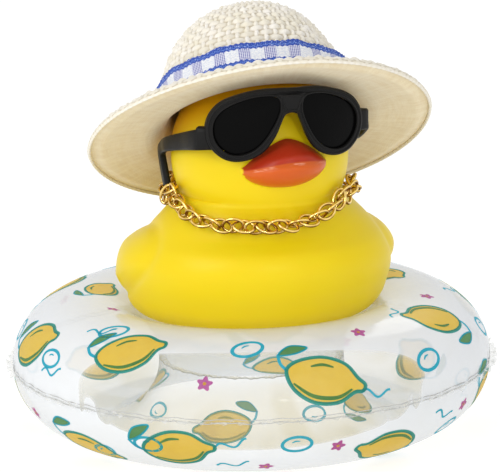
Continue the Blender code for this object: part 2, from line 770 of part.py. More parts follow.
def chain_point(turn):
    """Middle of the chain at a turn from the front, lying on the duck's skin."""
    from_sag = turn - CHAIN_SAG_TURN
    side = abs(math.atan2(math.sin(from_sag), math.cos(from_sag)))
    height = HEAD_HEIGHT - CHAIN_BELOW_HEAD
    height += CHAIN_SIDE_RISE * smooth_step(math.radians(15.0), math.radians(85.0), side)
    height -= CHAIN_BACK_DROP * smooth_step(math.radians(85.0), math.radians(135.0), side)
    skin = duck_skin(turn, height)
    along = plain_skin(turn + 0.02, height) - plain_skin(turn - 0.02, height)
    up = plain_skin(turn, height + 0.5 * MM) - plain_skin(turn, height - 0.5 * MM)
    normal = along.cross(up).normalized()
    around = [duck_skin(turn + 0.04 * aside, height + level * MM) for aside in range(-4, 5) for level in range(-4, 5)]
    middle = skin
    for _ in range(8):
        nearest = min((spot - middle).length for spot in around)
        middle = middle + normal * max(0.0, CHAIN_HALF_HEIGHT + SEAT_GAP - nearest)
    return middle, normal


def build_chain(parts):
    gold = material("gold_plated_chain", (0.8, 0.52, 0.16), 0.25, metallic=1.0)
    steps = 3 * CHAIN_LINKS
    rings = []
    for step in range(steps):
        turn = 2.0 * math.pi * step / steps
        middle, outward = chain_point(turn)
        after, _ = chain_point(turn + 0.02)
        run = (after - middle).normalized()
        tall = outward.cross(run).normalized()
        lean = math.radians(35.0) * (1.0 if (step // 3) % 2 else -1.0)
        swell = (0.6, 1.0, 1.0)[step % 3]
        ring = []
        for side in range(CHAIN_SIDES):
            around = 2.0 * math.pi * side / CHAIN_SIDES
            wide = CHAIN_HALF_HEIGHT * swell * math.sin(around)
            deep = CHAIN_HALF_THICK * swell * math.cos(around)
            ring.append(middle + outward * (deep * math.cos(lean) - wide * math.sin(lean))
                        + tall * (wide * math.cos(lean) + deep * math.sin(lean)))
        rings.append(ring)
    chain = loft("neck_chain", rings, parts, gold, closed_path=True)
    chain.location = duck_place()


def main():
    clear_scene()
    parts = new_collection("rubber_duck")
    cutters = new_collection("cutters")
    build_ring(parts, cutters)
    build_duck(parts)
    build_hat(parts)
    build_glasses(parts, cutters)
    build_chain(parts)


main()
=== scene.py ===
"""Rubber duck in a straw hat, sunglasses and a neck chain, on a printed clear swim ring."""
from contextlib import contextmanager
from math import atan2, copysign, cos, exp, floor, hypot, pi, radians, sin, sqrt, tan, tau

import bmesh
import bpy
import numpy as np
from mathutils import Matrix, Vector


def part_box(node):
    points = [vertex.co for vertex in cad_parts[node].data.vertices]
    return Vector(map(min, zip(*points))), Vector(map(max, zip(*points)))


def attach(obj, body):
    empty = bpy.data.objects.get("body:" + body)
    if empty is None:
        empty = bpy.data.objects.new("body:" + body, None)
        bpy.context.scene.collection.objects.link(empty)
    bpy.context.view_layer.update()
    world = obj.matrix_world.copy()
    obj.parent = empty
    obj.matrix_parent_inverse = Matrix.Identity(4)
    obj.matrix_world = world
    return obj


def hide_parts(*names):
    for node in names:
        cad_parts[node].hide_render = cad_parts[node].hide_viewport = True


MM = 0.001
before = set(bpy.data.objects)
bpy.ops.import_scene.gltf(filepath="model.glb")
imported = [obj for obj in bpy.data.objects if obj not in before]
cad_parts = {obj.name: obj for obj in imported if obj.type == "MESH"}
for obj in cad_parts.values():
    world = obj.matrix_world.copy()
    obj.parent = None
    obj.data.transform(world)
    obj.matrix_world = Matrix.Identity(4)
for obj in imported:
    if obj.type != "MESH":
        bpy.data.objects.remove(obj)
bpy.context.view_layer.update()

# Ring
TUBE_MIDDLE = 30.5 * MM
TUBE_HALF_WIDTH = 13.5 * MM
TUBE_HALF_HEIGHT = 12.3 * MM
RING_FLATTENING = 0.4 * MM
FLANGE = 1.5 * MM
SEAM = TUBE_HALF_HEIGHT - RING_FLATTENING
FILM_COLUMNS, FILM_STEPS = 256, 60
FOLD_DEPTH = 0.16 * MM
FLANGE_COLUMNS, FLANGE_STEPS = 1320, 6
PUCKER_HEIGHT = 0.62 * MM
INNER_PUCKER = 0.12  # share of the outer flange's puckers
PRINT_SCALE = 1.22

# Duck
DUCK_COLUMNS = 224
DUCK_SIDEWAYS = 0.5 * MM
DUCK_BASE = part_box("duck_body")[0][2]
BODY_HALF_WIDTH = 24.0 * MM
BODY_HALF_DEPTH = 25.6 * MM
NECK_HALF_WIDTH = 15.5 * MM
NECK_HALF_DEPTH = 15.3 * MM
NECK_HEIGHT = 23.3 * MM
FULL_CHEST = 0.11
BASE_RADIUS = 20.4 * MM
BASE_ROUNDING = 4.0 * MM
HEAD_RADIUS = 16.4 * MM
HEAD_HEIGHT = 30.0 * MM
HEAD_FORWARD = 8.5 * MM
SLIMMER_CHEEK = 0.07
BEAK_HALF_WIDTH = 7.9 * MM
BEAK_REACH = 5.5 * MM
MOUTH_HEIGHT = 30.4 * MM
MOUTH_ARCH = 1.5 * MM
UPPER_BILL = 4.7 * MM
LOWER_BILL = 3.6 * MM
MOUTH_CREASE = 0.9 * MM
BEAK_TILT = 0.05
WING_PROUD = 1.7 * MM
WING_GROOVE = 0.4 * MM
WING_TURN = radians(104.0)
WING_HEIGHT = 9.8 * MM
WING_HALF_LENGTH = 16.5 * MM
WING_HALF_HEIGHT = 7.0 * MM
WING_SLOPE = radians(-14.0)
TAIL_HEIGHT = 8.5 * MM
TAIL_REACH = 5.0 * MM
TAIL_LIFT = 2.5 * MM
TAIL_SPREAD = 6.5 * MM
SQUEAKER_SEAT = 4.9 * MM
SQUEAKER_HOLE = 1.4 * MM
# shares of the neck's height, of the width, of the depth and of the head's way forward
BODY_SHAPE = (
    (0.00, 0.88, 0.79, 0.00), (0.19, 0.97, 0.89, 0.05), (0.34, 1.00, 0.96, 0.17),
    (0.49, 0.96, 0.92, 0.32), (0.62, 0.79, 0.69, 0.50), (0.73, 0.57, 0.27, 0.70),
    (0.83, 0.33, 0.08, 0.82), (0.92, 0.13, 0.00, 0.90), (1.00, 0.00, 0.00, 0.98),
)

# Hat
HAT_TILT_BACK = radians(33.5)
HAT_TILT_TURN = radians(-3.0)
HAT_RISE = 4.8 * MM
HAT_PLAY = 1.0 * MM
HAT_SHIFT = 0.1 * MM
STRAW = 0.8 * MM
WEAVE_LIFT = 0.35 * MM
BRIM_RADIUS = 31.2 * MM
BRIM_DROOP = 1.2 * MM
CROWN_FLARE = 5.5 * MM
CROWN_HEIGHT = 21.8 * MM
CROWN_ROUNDNESS = 2.25
CROWN_LOWER = 0.35 * MM
CROWN_DRAWN_LEFT, CROWN_DRAWN_RIGHT = 0.09, 0.035
BRIM_SAG = 1.0 * MM
SAG_TURN = radians(-128.0)
SAG_SPREAD = radians(48.0)
LINING = 0.45 * MM
LINING_TURN_UP = 4.0 * MM
GAP = 0.3 * MM
WEAVE_SUNK = 0.15 * MM
# radii at which a turn is as long as in the UV map
STRAW_MAP_RADIUS = 20.0 * MM
LINING_MAP_RADIUS = 24.0 * MM
RIBBON_MAP_RADIUS = 17.6 * MM
HEM_COLUMNS, HEM_SIDES = 1080, 10
LINING_COLUMNS, LINING_ROWS = 360, 90
RIBBON_LEVELS = 11
RIBBON_STEPS = 560
RIBBON_LAP = radians(14.0)
RIBBON_THICK = 0.16 * MM
RIBBON_LOW = 4.35 * MM
RIBBON_WIDTH = 4.45 * MM

# Sunglasses, with outlines and routes in millimetres
GLASSES_FORWARD = 26.7 * MM
GLASSES_HEIGHT = 30.0 * MM
GLASSES_WRAP = radians(21.5)
GLASSES_NOSE_ROUND = 1.2 * MM
GLASSES_LEAN = radians(5.0)
FRAME_THICK = 1.5 * MM
LENS_THICK = 0.7 * MM
ARM_THICK = 1.2 * MM
ARM_ROOT_HEIGHT = 3.8 * MM
ARM_TIP_HEIGHT = 2.3 * MM
FAR_ARM_LIFT = 1.6 * MM
FRAME_OUTLINE = (
    (0.0, 14.7), (4.8, 14.6), (8.8, 13.8), (12.2, 12.5), (14.2, 10.6), (15.1, 8.3), (15.0, 6.0),
    (14.1, 4.0), (12.2, 2.3), (9.8, 1.7), (7.1, 2.2), (4.8, 3.6), (2.95, 6.1), (1.85, 8.6), (1.15, 10.0),
    (0.0, 10.4),
)
LENS_OUTLINE = (
    (3.4, 13.3), (6.2, 13.2), (9.2, 12.4), (12.0, 11.0), (13.6, 9.0), (13.8, 6.6), (12.9, 4.6),
    (11.1, 3.2), (8.9, 3.0), (6.6, 3.9), (4.7, 5.7), (3.1, 8.3), (2.2, 10.6), (2.3, 12.5),
)
BRIDGE_PANEL = ((-1.9, 13.3), (1.9, 13.3), (1.55, 11.9), (1.15, 10.9), (0.0, 10.75), (-1.15, 10.9), (-1.55, 11.9))
ARM_ROUTE = (
    (12.7, -14.0, 5.6), (14.2, -13.6, 5.6), (15.4, -12.3, 5.3), (16.4, -8.0, 4.4), (17.8, -2.5, 3.1),
    (17.7, 1.6, 1.9), (17.7, 3.3, 0.8), (17.4, 4.0, -1.0), (17.1, 3.9, -3.2), (16.8, 3.3, -5.7),
)

# Chain
CHAIN_HALF_HEIGHT = 1.4 * MM
SEAT_GAP = 0.35 * MM
CHAIN_FRONT_HEIGHT = 19.5 * MM
CHAIN_SIDE_RISE = 4.8 * MM
CHAIN_BACK_DROP = 5.4 * MM
CHAIN_SAG_TURN = radians(-20.0)
CHAIN_LINKS = 62
CHAIN_STEPS = 240
LINK_WIRE = 0.29 * MM
LINK_HALF_LONG = 1.85 * MM
LINK_HALF_WIDE = 1.24 * MM
LINK_COLUMNS, LINK_SIDES = 26, 8

# Camera, from the ring's, brim's and sunglasses' outlines
CAMERA_TURN = -15.0
CAMERA_RISE = 15.25
CAMERA_ROLL = 1.16
CAMERA_DISTANCE = 0.5
FOCAL_PIXELS = 2700.0
RING_PIXEL = (251.4, 353.6)
PHOTO_SIZE = (500, 472)
SENSOR_WIDTH = 36.0

# Surroundings
FLOOR_HALF = 3.0
FLOOR_LOW = -0.03 * MM  # a hair under the ring's flat band, so that the two don't lie in one plane
LIGHT_TARGET = (0.0, 0.0, 0.045)
LIGHTS = (  # name, place, size, power, colour
    ("key", (-0.55, -0.34, 0.34), (0.40, 0.40), 1.8, (1.0, 0.985, 0.96)),
    ("front", (0.12, -0.62, 0.30), (0.16, 0.30), 0.06, (1.0, 1.0, 1.0)),
    ("glint", (-0.005, -0.610, 0.210), (0.042, 0.016), 0.26, (1.0, 1.0, 1.0)),
    ("second_glint", (0.055, -0.620, 0.182), (0.022, 0.016), 0.11, (1.0, 1.0, 1.0)),
    ("third_glint", (-0.075, -0.560, 0.305), (0.022, 0.014), 0.05, (1.0, 1.0, 1.0)),
    ("back", (0.30, 0.45, 0.50), (0.40, 0.40), 0.6, (1.0, 1.0, 1.0)),
)


# Meshes


def smooth_step(low, high, value):
    share = min(1.0, max(0.0, (value - low) / (high - low)))
    return share * share * (3.0 - 2.0 * share)


def smooth_line(points, steps, closed=False):
    vectors = [Vector(point) for point in points]
    count = len(vectors)
    line = []
    for index in range(count if closed else count - 1):
        here = vectors[index]
        after = vectors[(index + 1) % count]
        before = vectors[index - 1] if closed or index else here
        beyond = vectors[(index + 2) % count] if closed or index + 2 < count else after
        for step in range(steps):
            t = step / steps
            line.append(0.5 * (
                2.0 * here + (after - before) * t
                + (2.0 * before - 5.0 * here + 4.0 * after - beyond) * t ** 2
                + (3.0 * here - before - 3.0 * after + beyond) * t ** 3))
    return line if closed else line + [vectors[-1]]


def in_mm(points, steps=6, closed=False, side=1.0):
    return smooth_line([(x * MM * side, z * MM) for x, z in points], steps, closed)


def circle(count):
    return [tau * index / count for index in range(count)]


def turned(radius, turn, height=0.0):
    """Point at a turn from the front (-Y) towards +X."""
    return Vector((radius * sin(turn), -radius * cos(turn), height))


def scatter(value, size=43758.5453):
    """Repeatable number from 0 to 1."""
    made = sin(value) * size
    return made - floor(made)


def run_at(line, index, closed=False):
    """From the point before one to the point after it."""
    if closed:
        return line[(index + 1) % len(line)] - line[index - 1]
    return line[min(index + 1, len(line) - 1)] - line[max(index - 1, 0)]


def put(name, data):
    made = bpy.data.objects.new(name, data)
    bpy.context.scene.collection.objects.link(made)
    return made


@contextmanager
def edited(mesh):
    form = bmesh.new()
    form.from_mesh(mesh)
    yield form
    form.to_mesh(mesh)
    form.free()


def add_piece(name, mesh, finishes, replaced=(), sharp=None):
    if sharp:
        mesh.set_sharp_from_angle(angle=radians(sharp))
    piece = put(name, mesh)
    for finish in finishes:
        mesh.materials.append(finish)
    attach(piece, "root")
    if replaced:
        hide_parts(*replaced)
    return piece


def grid_mesh(name, rows, start=None, end=None, uv=None, flip=False, **attributes):
    """Smooth mesh over closed rows of points, with pole points at its ends and float attributes.

    uv is a function of (row share, column share) that fills a UV map in metres or shares.
    """
    columns = len(rows[0])
    last = len(rows) - 1
    verts = [tuple(point) for row in rows for point in row]
    cells = [((r, c), (r, c + 1), (r + 1, c + 1), (r + 1, c)) for r in range(last) for c in range(columns)]
    faces = [[r * columns + c % columns for r, c in cell] for cell in cells]
    for pole, r in ((start, 0), (end, last)):
        if pole is None:
            continue
        for c in range(columns):
            a, b, tip = r * columns + c, r * columns + (c + 1) % columns, len(verts)
            faces.append([a, b, tip] if r else [a, tip, b])
            cells.append(((r, c), (r, c + 1), (r, c)) if r else ((r, c), (r, c), (r, c + 1)))
        verts.append(tuple(pole))
    if flip:
        faces = [face[::-1] for face in faces]
        cells = [cell[::-1] for cell in cells]
    mesh = bpy.data.meshes.new(name)
    mesh.from_pydata(verts, [], faces)
    if uv:
        spread = [value for cell in cells for r, c in cell for value in uv(r / last, c / columns)]
        mesh.uv_layers.new(name="spread").data.foreach_set("uv", spread)
    mesh.shade_smooth()
    for item, values in attributes.items():
        mesh.attributes.new(item, "FLOAT", "POINT").data.foreach_set("value", values)
    return mesh


# Materials


class Nodes:
    """Short calls for building the node tree of a material or a world."""

    def __init__(self, name, owners=bpy.data.materials, shader="Principled BSDF"):
        self.owner = owners.new(name)
        self.owner.use_nodes = True
        self.tree = self.owner.node_tree
        self.shader = self.tree.nodes[shader]

    def link(self, value, socket):
        if isinstance(value, bpy.types.NodeSocket):
            self.tree.links.new(value, socket)
        else:
            if isinstance(value, tuple) and len(value) == 3 and len(socket.default_value) == 4:
                value = (*value, 1.0)
            socket.default_value = value

    def set(self, **values):
        """Fill the shader's sockets and give the material or world."""
        for name, value in values.items():
            self.link(value, self.shader.inputs[name.replace("_", " ")])
        return self.owner

    def node(self, kind, inputs=None, **settings):
        made = self.tree.nodes.new("ShaderNode" + kind)
        for name, value in settings.items():
            setattr(made, name, value)
        for name, value in (inputs or {}).items():
            self.link(value, made.inputs[name])
        return made.outputs

    def blend(self, share, first, second):
        """Let the material be a mixture of two shaders."""
        both = self.node("MixShader", {0: share, 1: first, 2: second})[0]
        self.link(both, self.tree.nodes["Material Output"].inputs["Surface"])

    def coordinates(self):
        return self.node("TexCoord")["Object"]

    def uv(self):
        return self.node("UVMap", uv_map="spread")[0]

    def attribute(self, name):
        return self.node("Attribute", attribute_name=name)["Fac"]

    def split(self, vector):
        return self.node("SeparateXYZ", {0: vector})

    def scaled(self, vector, scale):
        return self.node("VectorMath", {0: vector, 1: scale}, operation="MULTIPLY")[0]

    def math(self, operation, *values):
        return self.node("Math", dict(enumerate(values)), operation=operation)[0]

    def plus(self, a, b):
        return self.math("ADD", a, b)

    def times(self, a, b):
        return self.math("MULTIPLY", a, b)

    def apart(self, a, b):
        return self.math("ABSOLUTE", self.math("SUBTRACT", a, b))

    def waves(self, value, length):
        """Sine along a value, one wave to a length in millimetres."""
        return self.math("SINE", self.times(value, tau / (length * MM)))

    def range(self, value, low, high, to_low=0.0, to_high=1.0, smooth=True):
        return self.node("MapRange", dict(enumerate((value, low, high, to_low, to_high))),
                         interpolation_type="SMOOTHSTEP" if smooth else "LINEAR")[0]

    def mix(self, share, a, b):
        return self.node("Mix", {0: share, 6: a, 7: b}, data_type="RGBA")[2]

    def noise(self, vector, scale, detail=3.0, rough=0.5):
        inputs = {"Vector": vector, "Scale": scale, "Detail": detail, "Roughness": rough}
        return self.node("TexNoise", inputs)["Fac"]

    def bump(self, height, distance, strength):
        return self.node("Bump", {"Strength": strength, "Distance": distance * MM, "Height": height})[0]

    def seen(self):
        """1 for what the camera sees, straight or in glossy and clear surfaces."""
        path = self.node("LightPath")
        mirrored = self.math("MAXIMUM", path["Is Glossy Ray"], path["Is Transmission Ray"])
        return self.math("MAXIMUM", path["Is Camera Ray"], mirrored)


def duck_finish():
    n = Nodes("yellow_vinyl_and_beak_paint")
    spot = n.coordinates()
    cloudy = n.noise(spot, 60.0, 2.0)
    yellow = n.mix(cloudy, (0.80, 0.60, 0.002), (0.85, 0.645, 0.004))
    # painted shade: the head darker and more orange just under the hat's brim
    yellow = n.mix(n.attribute("under_brim"), yellow, (0.72, 0.32, 0.002))
    # upper bill: red paint, kept darker as painted shade from the sunglasses and hat above it; lower bill: orange
    # paint
    upper = n.mix(n.noise(spot, 220.0), (0.36, 0.022, 0.006), (0.46, 0.036, 0.010))
    lower = n.mix(n.noise(spot, 180.0), (0.58, 0.092, 0.010), (0.66, 0.125, 0.014))
    paint = n.mix(n.range(n.attribute("above_mouth"), -0.25, 0.1), lower, upper)
    edge = n.plus(n.attribute("beak"), n.times(n.noise(spot, 900.0), 0.03))
    painted = n.range(edge, 0.02, 0.05)
    # painted highlight: paler, pinkish streaks along the mouth's lip
    near_lip = n.math("ABSOLUTE", n.plus(n.attribute("above_mouth"), 0.35))
    lip_glint = n.times(n.range(near_lip, 0.3, 0.05),
                  n.range(n.noise(n.scaled(spot, (260.0, 260.0, 1400.0)), 1.0), 0.50, 0.68))
    paint = n.mix(lip_glint, paint, (0.86, 0.42, 0.30))
    fine = n.noise(spot, 2600.0, 2.0)
    return n.set(Base_Color=n.mix(painted, yellow, paint),
                 Roughness=n.plus(n.range(painted, 0.0, 1.0, 0.40, 0.30), n.times(cloudy, 0.06)),
                 Subsurface_Weight=0.25, Subsurface_Radius=(1.0, 0.62, 0.18), Subsurface_Scale=1.6 * MM,
                 Specular_IOR_Level=0.24, Normal=n.bump(fine, 0.02, 0.35))


def film_finish():
    """Clear vinyl film: lets light through, shinier where it is seen edge on, with painted reflections: greyer
    edge on and beige low at the front.
    """
    n = Nodes("clear_ring_film")
    spot = n.coordinates()
    # painted reflection: beige patches on the low front of the film
    low = n.range(n.split(spot)[2], SEAM + 1.0 * MM, SEAM - 5.0 * MM)
    cloud = n.range(n.noise(n.scaled(spot, (95.0, 95.0, 16.0)), 1.0, 1.0), 0.44, 0.60)
    beige_reflection = n.times(low, n.plus(n.times(cloud, 0.55), 0.45))
    clear = n.mix(beige_reflection, (0.962, 0.968, 0.976), (0.835, 0.800, 0.680))
    # painted reflection of darker surroundings: the film's see-through colour greyer where it is seen edge on
    edge_on = n.range(n.node("LayerWeight", {"Blend": 0.32})["Facing"], 0.22, 1.0)
    through = n.node("BsdfTransparent", {0: n.mix(edge_on, clear, (0.50, 0.54, 0.57))})[0]
    share = n.plus(n.times(n.node("Fresnel", {"IOR": 1.4})[0], 0.75), 0.075)
    n.blend(share, through, n.shader.outputs[0])
    return n.set(Base_Color=(0.80, 0.825, 0.86), Roughness=0.12, IOR=1.53,
                 Normal=n.bump(n.noise(spot, 130.0, 2.0), 0.5, 0.25))


def flange_finish():
    n = Nodes("puckered_flange_film")
    spot = n.coordinates()
    through = n.node("BsdfTransparent", {0: (0.90, 0.905, 0.90)})[0]
    n.blend(n.range(n.noise(spot, 500.0, 2.0), 0.35, 0.7, 0.16, 0.5), through, n.shader.outputs[0])
    return n.set(Base_Color=(0.93, 0.94, 0.94), Roughness=0.12, Normal=n.bump(n.noise(spot, 900.0), 0.25, 0.6))


def ink(name, colour, deep):
    n = Nodes(name)
    tone = n.mix(n.noise(n.coordinates(), 500.0), colour, deep)
    n.blend(0.6, n.shader.outputs[0], n.node("BsdfTranslucent", {0: tone})[0])
    return n.set(Base_Color=tone, Roughness=0.25, Alpha=0.9)


def seam_finish():
    n = Nodes("weld_line")
    grey = n.mix(n.noise(n.coordinates(), 700.0), (0.52, 0.52, 0.51), (0.72, 0.72, 0.71))
    return n.set(Base_Color=grey, Roughness=0.2, Alpha=0.75)


def straw_finish():
    n = Nodes("woven_paper_straw")
    strip = n.mix(n.attribute("tone"), (0.76, 0.70, 0.57), (0.93, 0.90, 0.85))
    strip = n.mix(n.range(n.noise(n.coordinates(), 420.0), 0.35, 0.7), strip, (0.84, 0.79, 0.66))
    # painted shade: the weave's low places between the strips darker
    shaded = n.mix(n.range(n.attribute("depth"), 0.0, 0.6), (0.47, 0.39, 0.26), strip)
    twist = n.noise(n.scaled(n.uv(), (260.0, 2600.0, 1.0)), 1.0)
    return n.set(Base_Color=shaded, Roughness=0.78, Sheen_Weight=0.15, Normal=n.bump(twist, 0.06, 0.7))


def cloth_finish():
    n = Nodes("hat_lining_cloth")
    spread = n.split(n.uv())
    warp, weft = (n.waves(spread[part], 0.42) for part in (0, 1))
    slub, slub_across = (n.range(n.noise(n.scaled(n.uv(), scale), 1.0, 4.0, 0.7), 0.35, 0.68)
                         for scale in ((900.0, 160.0, 1.0), (160.0, 900.0, 1.0)))
    cloth = n.mix(slub, (0.74, 0.61, 0.38), (0.83, 0.73, 0.51))
    cloth = n.mix(n.times(slub_across, 0.5), cloth, (0.87, 0.79, 0.60))
    weave = n.plus(n.times(warp, weft), n.times(n.plus(slub, slub_across), 1.2))
    cloth = n.mix(n.times(n.noise(n.coordinates(), 90.0), 0.35), cloth, (0.78, 0.66, 0.44))
    return n.set(Base_Color=cloth, Roughness=0.92, Sheen_Weight=0.25, Normal=n.bump(weave, 0.04, 0.28))


def ribbon_finish():
    """Woven check: blue zigzag borders, white middle with lilac blocks of fine threads."""
    n = Nodes("checked_ribbon")
    along, up, _ = n.split(n.uv())
    thread, rib = n.waves(along, 0.34), n.waves(up, 0.30)
    pick = n.noise(n.scaled(n.uv(), (2400.0, 5200.0, 1.0)), 1.0, 2.0)
    in_block = n.range(n.waves(along, 4.5), 0.02, 0.18)
    threads = n.range(n.plus(thread, n.times(rib, 0.8)), -0.3, 0.5)
    lilac = n.mix(threads, (0.76, 0.78, 0.90), (0.17, 0.18, 0.50))
    white = n.mix(n.range(pick, 0.4, 0.62), (0.93, 0.94, 0.96), (0.74, 0.78, 0.89))
    middle = n.mix(in_block, white, lilac)
    zigzag = n.apart(n.math("FRACT", n.math("DIVIDE", along, 0.95 * MM)), 0.5)
    from_edge = n.math("MINIMUM", up, n.math("SUBTRACT", RIBBON_WIDTH, up))
    wave = n.plus(from_edge, n.times(zigzag, 0.5 * MM))
    border = n.range(wave, 1.32 * MM, 1.18 * MM)
    stitch = n.range(n.plus(n.times(pick, 1.3), n.times(thread, 0.25)), 0.42, 0.86)
    blue = n.mix(stitch, (0.012, 0.045, 0.36), (0.05, 0.13, 0.55))
    lines = n.range(n.apart(wave, 0.82 * MM), 0.05 * MM, 0.12 * MM)
    blue = n.mix(lines, (0.10, 0.20, 0.62), blue)
    fleck = n.noise(n.scaled(n.uv(), (1900.0, 4200.0, 1.0)), 1.0, 1.0)
    blue = n.mix(n.range(fleck, 0.60, 0.68), blue, (0.42, 0.52, 0.88))
    height = n.plus(n.times(thread, rib), n.times(n.noise(n.coordinates(), 2500.0), 1.5))
    return n.set(Base_Color=n.mix(border, middle, blue), Roughness=0.85, Sheen_Weight=0.06,
                 Normal=n.bump(height, 0.05, 0.7))


def frame_finish():
    n = Nodes("satin_black_frame")
    spot = n.coordinates()
    return n.set(Base_Color=n.mix(n.noise(spot, 300.0), (0.004, 0.004, 0.004), (0.009, 0.0085, 0.008)),
                 Specular_IOR_Level=0.16, Roughness=n.range(n.noise(spot, 240.0, 4.0), 0.3, 0.7, 0.34, 0.52),
                 Normal=n.bump(n.noise(spot, 1500.0), 0.03, 0.35))


def lens_finish():
    n = Nodes("dark_lens")
    spot = n.coordinates()
    scuff = n.noise(n.scaled(spot, (900.0, 900.0, 300.0)), 1.0, 4.0, 0.7)
    return n.set(Base_Color=(0.002, 0.002, 0.002), Specular_IOR_Level=0.05,
                 Roughness=n.range(n.noise(spot, 160.0, 5.0), 0.35, 0.75, 0.14, 0.32),
                 Normal=n.bump(scuff, 0.02, 0.25))


def gold_finish():
    n = Nodes("gold_plating")
    spot = n.coordinates()
    worn = n.range(n.noise(spot, 700.0, 4.0), 0.45, 0.75)
    # painted light and shade: the links' upper sides bright gold, their undersides dark brown, broken up by noise
    upward = n.split(n.node("NewGeometry")["Normal"])[2]
    top_light_and_streaks = n.plus(upward, n.times(n.math("SUBTRACT", n.noise(spot, 420.0, 2.0), 0.5), 1.6))
    plated = n.mix(worn, (1.0, 0.73, 0.24), (0.80, 0.50, 0.12))
    return n.set(Base_Color=n.mix(n.range(top_light_and_streaks, -0.55, 0.45), (0.20, 0.085, 0.012), plated), Metallic=1.0,
                 Roughness=n.range(n.noise(spot, 1200.0), 0.3, 0.7, 0.10, 0.22))


def plastic_finish(name, colour, deep, roughness, alpha=1.0):
    n = Nodes(name)
    spot = n.coordinates()
    return n.set(Base_Color=n.mix(n.noise(spot, 250.0), colour, deep), Roughness=roughness, Alpha=alpha,
                 Normal=n.bump(n.noise(spot, 1800.0, 2.0), 0.03, 0.4))


# Duck


def hermite(before, near, far, beyond, column, t):
    span = far[0] - near[0]
    start = (far[column] - before[column]) / (far[0] - before[0]) * span
    finish = (beyond[column] - near[column]) / (beyond[0] - near[0]) * span
    return (near[column] * (2 * t ** 3 - 3 * t ** 2 + 1) + start * (t ** 3 - 2 * t ** 2 + t)
            + far[column] * (3 * t ** 2 - 2 * t ** 3) + finish * (t ** 3 - t ** 2))


def duck_section(height):
    """Half width, half depth and middle of the duck at a height."""
    if height > NECK_HEIGHT:
        above = height - HEAD_HEIGHT
        radius = sqrt(max(0.0, HEAD_RADIUS ** 2 - above ** 2))
        return radius, radius, -HEAD_FORWARD
    share = height / NECK_HEIGHT
    upper = next(index for index in range(1, len(BODY_SHAPE)) if share <= BODY_SHAPE[index][0] + 1e-9)
    places = (min(len(BODY_SHAPE) - 1, max(0, upper + step)) for step in range(-2, 2))
    before, near, far, beyond = (BODY_SHAPE[place] for place in places)
    t = (share - near[0]) / (far[0] - near[0])
    width, depth, shift = (hermite(before, near, far, beyond, column, t) for column in (1, 2, 3))
    half_width = NECK_HALF_WIDTH + (BODY_HALF_WIDTH - NECK_HALF_WIDTH) * width
    half_depth = NECK_HALF_DEPTH + (BODY_HALF_DEPTH - NECK_HALF_DEPTH) * depth
    rounding = min(1.0, height / BASE_ROUNDING)
    curve = sqrt(1.0 - (1.0 - rounding) ** 2)
    half_width = BASE_RADIUS + (half_width - BASE_RADIUS) * curve
    half_depth = BASE_RADIUS + (half_depth - BASE_RADIUS) * curve
    return half_width, half_depth, -HEAD_FORWARD * shift


def plain_skin(turn, height):
    half_width, half_depth, middle = duck_section(height)
    fuller = FULL_CHEST * sin(pi * min(1.0, height / NECK_HEIGHT)) * cos(turn)
    return Vector((half_width * sin(turn) * (1.0 + fuller), middle - half_depth * cos(turn), height))


def beak_form(point):
    """Forward reach of the beak at a point, how far inside its outline it is, and mm above the mouth."""
    across = abs(point.x) / BEAK_HALF_WIDTH
    mouth = MOUTH_HEIGHT + MOUTH_ARCH * (1.0 - min(1.0, across) ** 2)
    above = point.z - mouth - BEAK_TILT * point.x
    if across >= 1.0 or point.y > -HEAD_FORWARD:
        return 0.0, 1.0 - max(1.001, across), above / MM
    round_off = sqrt(1.0 - across * across)
    if above > 0.0:
        share = above / (MOUTH_HEIGHT + UPPER_BILL * (1.0 - across ** 1.6) - mouth + 0.1 * MM)
        share = share if share > 0.0 else 2.0
        swell = 1.0 - min(1.0, share) ** 1.4
    else:
        share = above / (MOUTH_HEIGHT - LOWER_BILL * round_off - mouth - 0.1 * MM)
        swell = (1.0 - min(1.0, share) ** 2) ** 0.6
    crease = MOUTH_CREASE * exp(-(above / (0.6 * MM)) ** 2) if swell > 0.0 else 0.0
    inside = min(1.0 - share, 1.0 - across)
    return (BEAK_REACH * swell - crease) * round_off ** 0.85, inside, above / MM


def wing_push(turn, point):
    side = abs(atan2(sin(turn), cos(turn)))
    along = (side - WING_TURN) * BODY_HALF_WIDTH
    up = point.z - WING_HEIGHT
    length = along * cos(WING_SLOPE) + up * sin(WING_SLOPE)
    rise = up * cos(WING_SLOPE) - along * sin(WING_SLOPE)
    reach = hypot(length / WING_HALF_LENGTH, rise / WING_HALF_HEIGHT)
    raised = WING_PROUD * (1.0 - smooth_step(0.4, 1.08, reach))
    return raised - WING_GROOVE * exp(-((reach - 0.98) / 0.1) ** 2)


def tail_root():
    _, half_depth, middle = duck_section(TAIL_HEIGHT)
    return Vector((0.0, middle + half_depth, TAIL_HEIGHT))


def duck_skin(turn, height):
    """Point of the duck with how far inside the beak's outline it is and millimetres above the mouth."""
    point = plain_skin(turn, height)
    push, inside, above = beak_form(point)
    point.y -= push
    if height < NECK_HEIGHT:
        near_tail = exp(-((point - tail_root()).length / TAIL_SPREAD) ** 2)
        near_tail *= smooth_step(0.3 * BASE_ROUNDING, 1.4 * BASE_ROUNDING, height)
        point += turned(1.0, turn) * wing_push(turn, point)
        point += Vector((0.0, TAIL_REACH, TAIL_LIFT)) * near_tail
    slim = smooth_step(0.62 * NECK_HEIGHT, 1.05 * NECK_HEIGHT, height) if point.x > 0.0 else 0.0
    point.x *= 1.0 - SLIMMER_CHEEK * slim
    return point, inside, above


def on_duck(point):
    return Vector((point.x + DUCK_SIDEWAYS, point.y, point.z + DUCK_BASE))


